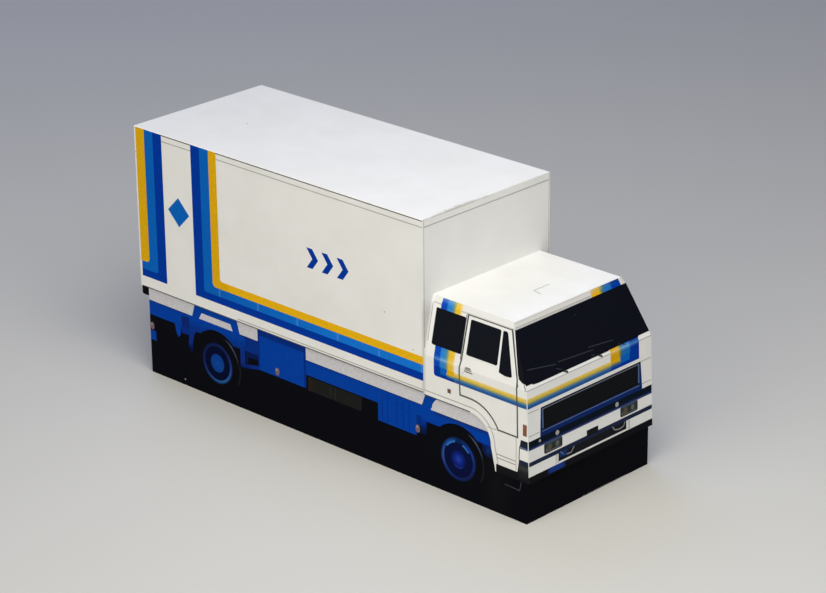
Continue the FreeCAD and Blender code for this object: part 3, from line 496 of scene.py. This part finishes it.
# Printed shades of the smaller areas, by z, and by x on the tank and in the wheel wells.
# The windows' are by the distance past the pillar: lighter on the sides than on the windscreen.
window_shades = [(45.0, "#14171F"), (45.75, "#161819"), (45.8, "#10121C"), (46.0, "#10121C")]
grille_frame_shades = [(12.95, "#16191C"), (13.0, "#4E6894"), (15.4, "#4E6894"), (15.6, "#6C7080")]
navy_shades = [(9.1, "#212A46"), (11.9, "#102A68"), (16.0, "#10285E")]
headlamp_shades = [(9.3, "#34352E"), (10.7, "#333D42")]
orange_shades = [(8.5, "#7A646C"), (12.0, "#8C5742"), (14.4, "#8C5742"), (14.7, "#705848")]
tank_shades = [(-3.3, "#2E2620"), (-2.4, "#241F1B"), (-1.6, "#1E1F1E")]
well_shades = [(-1.0, "#030C2E"), (1.0, "#06103A")]

# One material for each slot of the record. All but the first are the same dull film of toner, so nothing
# on the truck shines, and the black windows and tyres are as flat to the eye as the stripes.
finishes = {
    "card_white": bare_card("uncoated_card"),
    "card_black": toner("card_printed_black", "#0B0B11"),
    "ink_black": toner("black_toner", black),
    "ink_chassis_blue": toner("chassis_blue_toner", chassis_blue),
    "ink_chassis_shade": toner("chassis_shade_toner", "#052F86"),
    "ink_beige": toner("pale_grey_toner", "#CFCDD2"),
    "ink_window": toner("window_toner", graded(past_pillar, window_shades)),
    # Each stripe's second colour is its pale tone at the belt's fold, partly wear and partly painted
    # highlight, and at the light blue run's marks
    "ink_yellow": toner("yellow_toner", stripe("#E2AD12", "#F8E8A0", run="#EDB616")),
    "ink_light_blue": toner("light_blue_toner", stripe("#0A64C0", "#A8DCFA", ticked=True)),
    "ink_dark_blue": toner("dark_blue_toner", stripe("#0038A2", "#6FB0E0")),
    "ink_grille": toner("grille_toner", "#111315"),
    "ink_grille_frame": toner("grille_frame_toner", graded(upward, grille_frame_shades)),
    "ink_navy": toner("navy_toner", graded(upward, navy_shades)),
    "ink_headlamp": toner("headlamp_toner", graded(upward, headlamp_shades)),
    "ink_olive": toner("olive_toner", "#2B2E27"),
    "ink_tank": toner("tank_toner", graded(forward, tank_shades)),
    "ink_orange": toner("orange_toner", graded(upward, orange_shades)),
    "ink_rim_blue": toner("rim_toner", rim),
    "ink_well": toner("wheel_well_toner", graded(forward, well_shades)),
    "ink_grey": toner("dark_line_toner", "#535352"),
    "ink_pale_grey": toner("pale_line_toner", "#B0AFAC"),
}
slot_of = {part["node"]: part["material_slot"] for part in frame["record"]["subparts"]}
glint_toner = toner("tyre_glint_toner", glint)
for name, piece in nodes.items():
    for holder in piece.material_slots:
        holder.material = glint_toner if name == "printed_tyre_glints" else finishes[slot_of[name]]


# Faces that fine print lies on: two level measures, such as x and z, and the height off the card
def face_at(origin, along, up):
    """Turns places on a face into places on the model. Up may lean, and then gains its height in z."""
    out = Vector(along).cross(Vector(up)).normalized()
    columns = Matrix((Vector(along), Vector(up), out)).transposed().to_4x4()
    return Matrix.Translation(Vector(origin)) @ columns


def leaning_front(foot, lean, height):
    """A face across the cab, by y and z, that leans back from a place in x at a height."""
    return face_at((foot + lean * height, 0, 0), sideways, (-lean, 0, 1))


cab_front = leaning_front(cab_high.x, front_lean, cab_low.z)
windscreen = leaning_front(screen_foot, screen_lean, belt_height)
front_band = leaning_front(screen_top, band_lean, gutter_height)
cab_side = face_at((0, -half, 0), forward, upward)
cab_upper = face_at((0, -half - side_lean * belt_height, 0), forward, (0, side_lean, 1))
cab_roof = face_at((0, 0, cab_high.z), forward, sideways)
skirt_side = face_at((0, skirt_low.y, 0), forward, upward)
skirt_front = face_at((skirt_high.x, 0, 0), sideways, upward)

# How fine print is made: the height of its underside off the card, and of its top on bare card,
# over other print, and over fine print
print_foot = 0.006
bare_top = 0.019
over_top = 0.03
second_top = 0.036
line_width = 0.1
disc_sides = 24
turn_steps = 4
arc_steps = 10


def flat_line(shape, points, width):
    """A flat line of some width through points, mitred at its corners."""
    points = [Vector(point) for point in points]
    steps = [(b - a).normalized() for a, b in zip(points, points[1:])]
    edge = None
    for i, point in enumerate(points):
        before, after = steps[max(i - 1, 0)], steps[min(i, len(steps) - 1)]
        middle = (before + after).normalized()
        aside = Vector((-middle.y, middle.x)) * (width / 2 / middle.dot(after))
        ends = (point - aside, point + aside)
        if edge is None:
            edge = shape.edges.new([shape.verts.new((end.x, end.y, 0)) for end in ends])
        else:
            first, last = edge.verts
            grown = bmesh.ops.extrude_edge_only(shape, edges=[edge])["geom"]
            edge = next(part for part in grown if isinstance(part, bmesh.types.BMEdge)
                        and first not in part.verts and last not in part.verts)
            for vert in edge.verts:
                from_first = any(link.other_vert(vert) is first for link in vert.link_edges)
                end = ends[0] if from_first else ends[1]
                vert.co = (end.x, end.y, 0)


def print_outline(width, lines, areas, turn, discs):
    """Flat lines of one width, areas whose corners turn at a radius, and discs, all facing outwards."""
    shape = bmesh.new()
    for points in lines:
        flat_line(shape, points, width)
    for corners in areas:
        shape.faces.new([shape.verts.new((a, b, 0)) for a, b in corners])
    if turn:
        bmesh.ops.bevel(shape, geom=shape.verts[:], offset=turn, affect="VERTICES", segments=turn_steps,
                        profile=0.5, material=-1)
    for centre, radius in discs:
        bmesh.ops.create_circle(shape, cap_ends=True, segments=disc_sides, radius=radius,
                                matrix=Matrix.Translation((*centre, 0)))
    bmesh.ops.recalc_face_normals(shape, faces=shape.faces)
    for flat in shape.faces:
        if flat.normal.z < 0:
            flat.normal_flip()
    return shape


def fine_print(name, slot, face, width=line_width, lines=(), areas=(), turn=0.0, discs=(), top=over_top,
               both_sides=False, material=None):
    """A thin closed layer of print on a face, and mirrored on the other side where both sides have it."""
    shape = print_outline(width, lines, areas, turn, discs)
    bmesh.ops.translate(shape, verts=shape.verts, vec=(0, 0, print_foot))
    bmesh.ops.solidify(shape, geom=shape.faces[:], thickness=print_foot - top)
    bmesh.ops.transform(shape, matrix=face, verts=shape.verts)
    if both_sides:
        twin = bmesh.ops.duplicate(shape, geom=shape.verts[:] + shape.edges[:] + shape.faces[:])["geom"]
        verts = [part for part in twin if isinstance(part, bmesh.types.BMVert)]
        bmesh.ops.scale(shape, vec=(1, -1, 1), verts=verts)
    bmesh.ops.scale(shape, vec=(mm, mm, mm), verts=shape.verts)
    bmesh.ops.recalc_face_normals(shape, faces=shape.faces)
    mesh = bpy.data.meshes.new(name)
    shape.to_mesh(mesh)
    shape.free()
    mesh.materials.append(material or finishes[slot])
    piece = bpy.data.objects.new(name, mesh)
    bpy.context.scene.collection.objects.link(piece)
    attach(piece, "root")


def arc(centre, radius, start, end):
    """Points along an arc between two angles in degrees."""
    turns = [math.radians(start + (end - start) * i / arc_steps) for i in range(arc_steps + 1)]
    return [(centre[0] + radius * math.cos(t), centre[1] + radius * math.sin(t)) for t in turns]


# Fine print on the windscreen, by y and z: wipers, and the black along its foot
wiper_width = 0.12
wiper_end_width = 0.28
wiper_blades = [[(-11.3, 21.3), (-6.1, 20.55)], [(-5.6, 20.7), (1.2, 20.3)], [(0.5, 20.8), (5.3, 20.4)]]
wiper_arms = [[(-6.3, 20.1), (-5.3, 19.65)], [(0.6, 19.8), (1.7, 19.55)], [(6.0, 19.7), (7.3, 19.3)]]
wiper_ends = [[(-5.2, 19.5), (-4.4, 19.1)], [(1.8, 19.5), (2.5, 19.1)]]
screen_feet = [[(-11.35, 19.68), (-11.1, 19.46), (-10.0, 19.4), (3.95, 19.41), (3.95, 19.68)],
               [(3.95, 19.68), (3.95, 19.47), (10.1, 19.5), (10.1, 19.68)]]
screen_spots = [((0.1, 25.0), 0.09), ((-3.4, 24.2), 0.06)]
fine_print("wipers", "ink_grey", windscreen, wiper_width, lines=wiper_blades + wiper_arms,
           material=toner("wiper_toner", "#32363D"))
fine_print("wiper_ends", "ink_grey", windscreen, wiper_end_width, lines=wiper_ends)
fine_print("screen_feet", "ink_window", windscreen, areas=screen_feet)
fine_print("screen_spots", "ink_grey", windscreen, discs=screen_spots,
           material=toner("spot_toner", "#33373D"))

# On the band above it: painted shade lines along its fold at the roof and across it above the windscreen
band_fold_width = 0.07
band_shade_width = 0.14
band_fold_line = [[(-10.8, 26.8), (4.0, 26.8)]]
band_low_line = [[(-10.9, 26.3), (4.0, 26.3)]]
fine_print("band_fold_line", "ink_pale_grey", front_band, band_fold_width, lines=band_fold_line,
           material=toner("band_fold_painted_shade", "#C6C3C0"))
fine_print("band_low_line", "ink_pale_grey", front_band, band_shade_width, lines=band_low_line,
           material=toner("band_low_painted_shade", "#B6B3B0"))

# On the cab's front, by y and z: faint lines of the apron and the bumper, tow hooks and small lamps
hook_width = 0.16
apron_ends = (10.3, 12.4)
apron_lines = [[(side * end, height) for end in apron_ends] for side in (-1, 1) for height in (15.9, 12.65)]
bumper_ends = (7.1, 8.4)
bumper_uprights = [[(across, end) for end in bumper_ends] for across in (-7.2, -6.85, 7.5, 7.75)]
hook_lines = [[(-6.3, 8.5), (-5.4, 7.8), (-4.2, 7.75), (-3.6, 8.4)],
              [(4.2, 8.5), (4.7, 7.9), (5.6, 7.7), (6.5, 7.85), (6.8, 8.4)]]
bumper_tint = [(-6.5, 7.8), (-5.1, 7.65), (-5.0, 8.5), (-6.5, 8.5)]
bumper_lip = [(-12.47, 10.67), (12.47, 10.67), (12.47, 10.83), (-12.47, 10.83)]
bumper_end_lip = [(35.98, 10.67), (37.3, 10.67), (37.3, 10.83), (35.96, 10.83)]     # on the sides, by x
front_lamps = [((-6.85, 11.44), 0.34), ((5.22, 11.39), 0.34)]
front_spot = [((-10.3, 11.45), 0.2)]
lip_toner = toner("bumper_lip_toner", "#42508A")
fine_print("front_lines", "ink_pale_grey", cab_front, lines=apron_lines + bumper_uprights, top=bare_top)
fine_print("tow_hooks", "ink_pale_grey", cab_front, hook_width, lines=hook_lines,
           material=toner("hook_toner", "#8F9499"))
fine_print("bumper_tint", "ink_navy", cab_front, areas=[bumper_tint],
           material=toner("bumper_tint_toner", "#1C3A78"))
fine_print("bumper_lip", "ink_navy", cab_front, areas=[bumper_lip], top=bare_top, material=lip_toner)
fine_print("bumper_end_lips", "ink_navy", cab_side, areas=[bumper_end_lip], top=bare_top, both_sides=True,
           material=lip_toner)
fine_print("front_lamps", "ink_pale_grey", cab_front, discs=front_lamps,
           material=toner("front_lamp_toner", "#AAAAA8"))
fine_print("front_spot", "ink_pale_grey", cab_front, discs=front_spot)

# The grille's slats and lower rim
slat_width = 0.08
slat_foot, slat_pitch, slat_count = 13.3, 0.35, 7
slat_ends = (-9.2, 9.3)
grille_slats = [[(end, slat_foot + i * slat_pitch) for end in slat_ends] for i in range(slat_count)]
foot_rim_width = 0.13
grille_foot_rim = [[(-9.8, 12.6), (9.9, 12.6)]]
fine_print("grille_slats", "ink_grille", cab_front, slat_width, lines=grille_slats,
           material=toner("slat_toner", "#1B1F23"))
fine_print("grille_foot_rim", "ink_grille_frame", cab_front, foot_rim_width, lines=grille_foot_rim,
           material=toner("foot_rim_toner", "#566E9C"))

# The headlamps' lobes and seams
lamp_bar_width = 0.16
lamp_foot_width = 0.12
lamp_seam_width = 0.12
lamp_lobes = [((-8.45, 9.95), 0.45), ((6.95, 9.95), 0.45)]
lamp_glows = [((-6.9, 9.98), 0.36), ((-9.0, 9.7), 0.16), ((8.45, 9.98), 0.36), ((6.3, 9.7), 0.16)]
lamp_bars = [[(-9.2, 10.56), (-6.2, 10.56)], [(6.2, 10.56), (9.2, 10.56)]]
lamp_feet = [[(-9.2, 9.45), (-6.2, 9.45)], [(6.2, 9.45), (9.2, 9.45)]]
lamp_seams = [[(-7.68, 9.5), (-7.62, 10.5)], [(7.7, 9.5), (7.74, 10.5)]]
fine_print("headlamp_lobes", "ink_headlamp", cab_front, discs=lamp_lobes,
           material=toner("lamp_lobe_toner", "#585242"))
fine_print("headlamp_glows", "ink_headlamp", cab_front, discs=lamp_glows,
           material=toner("lamp_glow_toner", "#636860"))
fine_print("headlamp_bars", "ink_headlamp", cab_front, lamp_bar_width, lines=lamp_bars,
           material=toner("lamp_bar_toner", "#4A5C6C"))
fine_print("headlamp_feet", "ink_headlamp", cab_front, lamp_foot_width, lines=lamp_feet,
           material=toner("lamp_foot_toner", "#62666A"))
fine_print("headlamp_seams", "ink_headlamp", cab_front, lamp_seam_width, lines=lamp_seams,
           material=toner("lamp_seam_toner", "#2A2C2A"))

# On the cab's roof, by x and y
hatch_line_width = 0.09
hatch_lines = [[(27.9, 2.2), (27.9, -0.9), (29.45, -1.2)]]
fine_print("roof_hatch_lines", "ink_pale_grey", cab_roof, hatch_line_width, lines=hatch_lines)

# On the cab's sides, by x and z: the windows' rounded corners, second lines beside the door, and its handle
window_turn = 0.24
handle_foot_width = 0.14
handle_bar_width = 0.2
key_mark_width = 0.08
window_edges = [[(20.12, 20.64), (25.3, 20.64), (25.3, 25.53), (20.12, 25.53)],
                [(26.2, 20.85), (31.58, 20.87), (31.42, 25.53), (26.2, 25.53)],
                [(32.1, 20.12), (33.2, 19.93), (34.3, 20.05), (32.55, 25.53), (31.75, 25.53)]]
second_door_lines = [[(25.33, 26.0), (25.3, 20.0)], [(33.35, 25.9), (35.5, 19.12)]]
rear_edge_line = [[(19.3, 20.9), (19.3, 25.9)]]
wiper_side_pivot = [[(36.45, 19.7), (36.8, 19.15)]]
handle_top = [(26.26, 19.08), (26.42, 19.3), (27.15, 19.34), (27.36, 19.08)]
handle_bar = [[(26.3, 18.95), (27.45, 18.95)]]
handle_foot = [[(26.2, 18.82), (26.36, 18.66), (27.62, 18.66)]]
key_mark = [[(25.86, 18.2), (26.0, 18.42)]]
step_marks = [[(30.3, 12.0), (32.0, 12.0)], [(35.3, 11.9), (35.3, 7.25)]]
bumper_marks = [[(31.9, 8.6), (35.2, 8.6)], [(31.9, 8.1), (35.2, 8.1)]]
fine_print("window_edges", "ink_window", cab_upper, areas=window_edges, turn=window_turn, both_sides=True)
fine_print("second_door_lines", "ink_grey", cab_upper, lines=second_door_lines, both_sides=True)
fine_print("rear_edge_lines", "ink_pale_grey", cab_upper, lines=rear_edge_line, both_sides=True)
fine_print("wiper_side_pivots", "ink_grey", cab_upper, wiper_width, lines=wiper_side_pivot, both_sides=True)
fine_print("door_handle_tops", "ink_grey", cab_upper, areas=[handle_top], both_sides=True,
           material=toner("handle_toner", "#8E8784"))
fine_print("door_handle_glints", "ink_pale_grey", cab_side, handle_bar_width, lines=handle_bar, top=bare_top,
           both_sides=True, material=toner("handle_glint_toner", "#A2A4A0"))
fine_print("door_handle_feet", "ink_grey", cab_side, handle_foot_width, lines=handle_foot, top=bare_top,
           both_sides=True, material=toner("handle_shade_toner", "#6C6060"))
fine_print("door_key_marks", "ink_pale_grey", cab_side, key_mark_width, lines=key_mark, top=bare_top,
           both_sides=True)
fine_print("cab_side_marks", "ink_pale_grey", cab_side, lines=step_marks, top=bare_top, both_sides=True)
fine_print("bumper_side_marks", "ink_grey", cab_side, lines=bumper_marks, top=bare_top, both_sides=True,
           material=toner("bumper_mark_toner", "#8A8A8A"))

# On the skirt's front, by y and z: the inked edge of its foot, worn away in places
worn_edge_width = 0.07
worn_edge = [[(-1.3, 0.09), (-0.7, 0.09)], [(-0.2, 0.09), (0.6, 0.09)], [(1.0, 0.08), (4.6, 0.08)],
             [(4.9, 0.07), (7.9, 0.07)]]
fine_print("worn_skirt_edge", "ink_pale_grey", skirt_front, worn_edge_width, lines=worn_edge,
           material=toner("worn_edge_toner", "#7C7C80"))

# On the skirt's sides, by x and z: the frame, its shades round the arches, the tank, steps and small lamps
frame_line_width = 0.14
block_line_width = 0.12
step_line_width = 0.12
frame_top_lines = [[(-36.15, 11.33), (-28.0, 11.33)], [(-17.0, 11.33), (-13.4, 11.33)],
                   [(-3.6, 11.33), (18.2, 11.33)]]
guard_shade = [(-29.3, 9.2), (-27.7, 9.2), (-27.7, 10.9), (-29.3, 10.9)]
arch_shade = [(28.3, 9.25), (28.6, 9.17), (29.7, 8.9), (31.0, 8.75), (31.0, 9.25)]
arch_dim = [(20.8, 10.55), (30.2, 10.55), (30.0, 11.16), (20.4, 11.16)]
arch_dim_shades = [(10.55, "#043CA0"), (10.8, "#083894"), (11.05, "#143176")]
arch_beige = [(20.0, 11.16), (30.2, 11.16), (30.2, 11.42), (20.05, 11.42)]
arch_deep = [(29.2, 8.2), (29.9, 7.6), (30.95, 7.5), (30.75, 8.75), (29.7, 8.9), (29.2, 9.0)]
arch_blue = [(29.95, 8.1), (30.85, 8.1), (30.7, 8.76), (29.9, 8.85)]
slot_shades = [[(-15.9, 8.35), (-13.4, 8.45), (-13.4, 9.12), (-15.9, 9.12)],
               [(-15.9, 7.3), (-15.4, 7.4), (-15.4, 8.35), (-15.9, 8.35)]]
tank_lines = [[(1.0, 7.1), (1.0, 8.9)], [(2.0, 7.1), (2.0, 8.9)]]
block_ends = (6.8, 10.9)
block_lines = [[(along, end) for end in block_ends] for along in (11.0, 12.0, 13.7, 14.9, 16.0)]
step_lines = [[(33.2, 4.6), (35.7, 4.5)], [(35.75, 4.4), (36.0, 5.4), (36.1, 5.9)]]
skirt_speck = [((-29.0, 0.9), 0.12)]
lamp_glints = [((-35.9, 7.65), 0.16), ((-9.62, 8.14), 0.16), ((17.46, 7.9), 0.16)]
shade_toner = toner("frame_shade_toner", "#0C2876")
fine_print("frame_top_lines", "ink_chassis_shade", skirt_side, frame_line_width, lines=frame_top_lines,
           both_sides=True, material=shade_toner)
fine_print("frame_shades", "ink_chassis_shade", skirt_side, areas=[guard_shade, arch_shade], both_sides=True,
           material=shade_toner)
fine_print("arch_frame_shade", "ink_chassis_shade", skirt_side, areas=[arch_dim], both_sides=True,
           material=toner("arch_shade_toner", graded(upward, arch_dim_shades)))
fine_print("arch_beige", "ink_beige", skirt_side, areas=[arch_beige], both_sides=True)
fine_print("arch_deep", "ink_chassis_shade", skirt_side, areas=[arch_deep], both_sides=True,
           material=toner("arch_deep_toner", "#0B1B48"))
fine_print("arch_blue", "ink_chassis_shade", skirt_side, areas=[arch_blue], both_sides=True, top=second_top,
           material=toner("arch_blue_toner", "#0F2C68"))
fine_print("slot_shades", "ink_chassis_shade", skirt_side, areas=slot_shades, both_sides=True,
           material=toner("slot_shade_toner", "#061C52"))
fine_print("tank_lines", "ink_tank", skirt_side, lines=tank_lines, both_sides=True,
           material=toner("tank_line_toner", "#2E2E2A"))
fine_print("tank_block_lines", "ink_chassis_shade", skirt_side, block_line_width, lines=block_lines,
           both_sides=True)
fine_print("step_lines", "ink_grey", skirt_side, step_line_width, lines=step_lines, both_sides=True,
           material=toner("step_toner", "#404044"))
fine_print("skirt_specks", "ink_pale_grey", skirt_side, discs=skirt_speck, both_sides=True)
fine_print("lamp_glints", "ink_pale_grey", skirt_side, discs=lamp_glints, both_sides=True,
           material=toner("lamp_glint_toner", "#A89C9C"))

# Arcs on the wheels: the middle, the radius and the angles in degrees of each
front_wheel = (front_axle, wheel_middle)
rear_wheel = (rear_axle, wheel_middle)
tyre_arc_width = 0.24
rim_light_width = 0.3
rim_notch_width = 0.5
hub_light_width = 0.26
tyre_arcs = [(front_wheel, 4.5, -28, 12), (rear_wheel, 4.75, -28, 10)]
rim_lights = [(front_wheel, 2.5, 104, 146), (front_wheel, 2.35, 38, 72)]
rim_notch = [(front_wheel, 2.6, 79, 98)]
hub_light = [(front_wheel, 1.2, -125, -50)]
for name, slot, width, arcs, material in (
        ("tyre_arcs", "ink_olive", tyre_arc_width, tyre_arcs, toner("tyre_arc_toner", "#1E1D1F")),
        ("rim_lights", "ink_rim_blue", rim_light_width, rim_lights, toner("rim_light_toner", "#2A6AC0")),
        ("rim_notch", "ink_well", rim_notch_width, rim_notch, toner("rim_notch_toner", "#0A2450")),
        ("hub_light", "ink_rim_blue", hub_light_width, hub_light, toner("hub_light_toner", "#1A2C86"))):
    fine_print(name, slot, skirt_side, width, lines=[arc(*turn) for turn in arcs], both_sides=True,
               material=material)

# Floor, lamps and camera. Each lamp has its place, what it looks at, its side, its power and its colour.
floor_reach = 3000
lamps = {
    "key": ((104, -62, 190), (20, 0, 20), 160, 0.353, "#FFFFFC"),
    "fill": ((-20, -590, 345), (0, 0, 15), 480, 1.52, "#FFFBEB"),
    "window": ((-380, 180, 480), (0, 0, 30), 300, 0.84, "#9BB4FF"),
}
room_glow = 0.15
focal_length = 123.16
sensor = 36.0
camera_place = (254.5, -260.1, 167.0)
camera_ahead = (-0.64064, 0.66794, -0.37873)
camera_above = (-0.25573, 0.27947, 0.92547)
nearest, farthest = 10, 8000


def pale_floor():
    """A plain sheet of pale matt board under the model: rolled smooth, so it's even and has no gloss."""
    material, tree, place = new_material("pale_floor_sheet")
    shader = add(tree, "BsdfPrincipled", {"Base Color": linear("#D2D0CA"), "Roughness": 0.95,
                                          "Specular IOR Level": 0.1})
    add(tree, "OutputMaterial", {"Surface": shader.outputs["BSDF"]})
    mesh = bpy.data.meshes.new("floor")
    shape = bmesh.new()
    bmesh.ops.create_grid(shape, x_segments=1, y_segments=1, size=floor_reach * mm)
    shape.to_mesh(mesh)
    shape.free()
    floor = bpy.data.objects.new("floor", mesh)
    floor.data.materials.append(material)
    bpy.context.scene.collection.objects.link(floor)


def lamp(name, position, target, size, power, colour):
    """A soft square lamp that looks at a point."""
    data = bpy.data.lights.new(name, "AREA")
    data.shape = "SQUARE"
    data.size = size * mm
    data.energy = power
    data.color = linear(colour)[:3]
    piece = bpy.data.objects.new(name, data)
    piece.location = Vector(position) * mm
    piece.rotation_mode = "QUATERNION"
    piece.rotation_quaternion = (Vector(target) - Vector(position)).to_track_quat("-Z", "Y")
    bpy.context.scene.collection.objects.link(piece)


def room():
    """The dim even light of a white room, and its lamps."""
    world = bpy.data.worlds.new("room")
    world.use_nodes = True
    tree = world.node_tree
    tree.nodes.clear()
    glow = add(tree, "Background", {"Color": linear("#FFFFFF"), "Strength": room_glow})
    add(tree, "OutputWorld", {"Surface": glow.outputs["Background"]})
    bpy.context.scene.world = world
    for name, setting in lamps.items():
        lamp(name, *setting)


def camera():
    """The photograph's view: a long lens a forearm away, a little above the model."""
    ahead, above = Vector(camera_ahead), Vector(camera_above)
    across = ahead.cross(above).normalized()
    data = bpy.data.cameras.new("camera")
    data.lens = focal_length
    data.sensor_width = sensor
    data.clip_start = nearest * mm
    data.clip_end = farthest * mm
    piece = bpy.data.objects.new("camera", data)
    turn = Matrix((across, across.cross(ahead), -ahead)).transposed()
    piece.matrix_world = Matrix.Translation(Vector(camera_place) * mm) @ turn.to_4x4()
    bpy.context.scene.collection.objects.link(piece)
    bpy.context.scene.camera = piece


pale_floor()
room()
camera()
bpy.context.scene.view_settings.view_transform = "Standard"
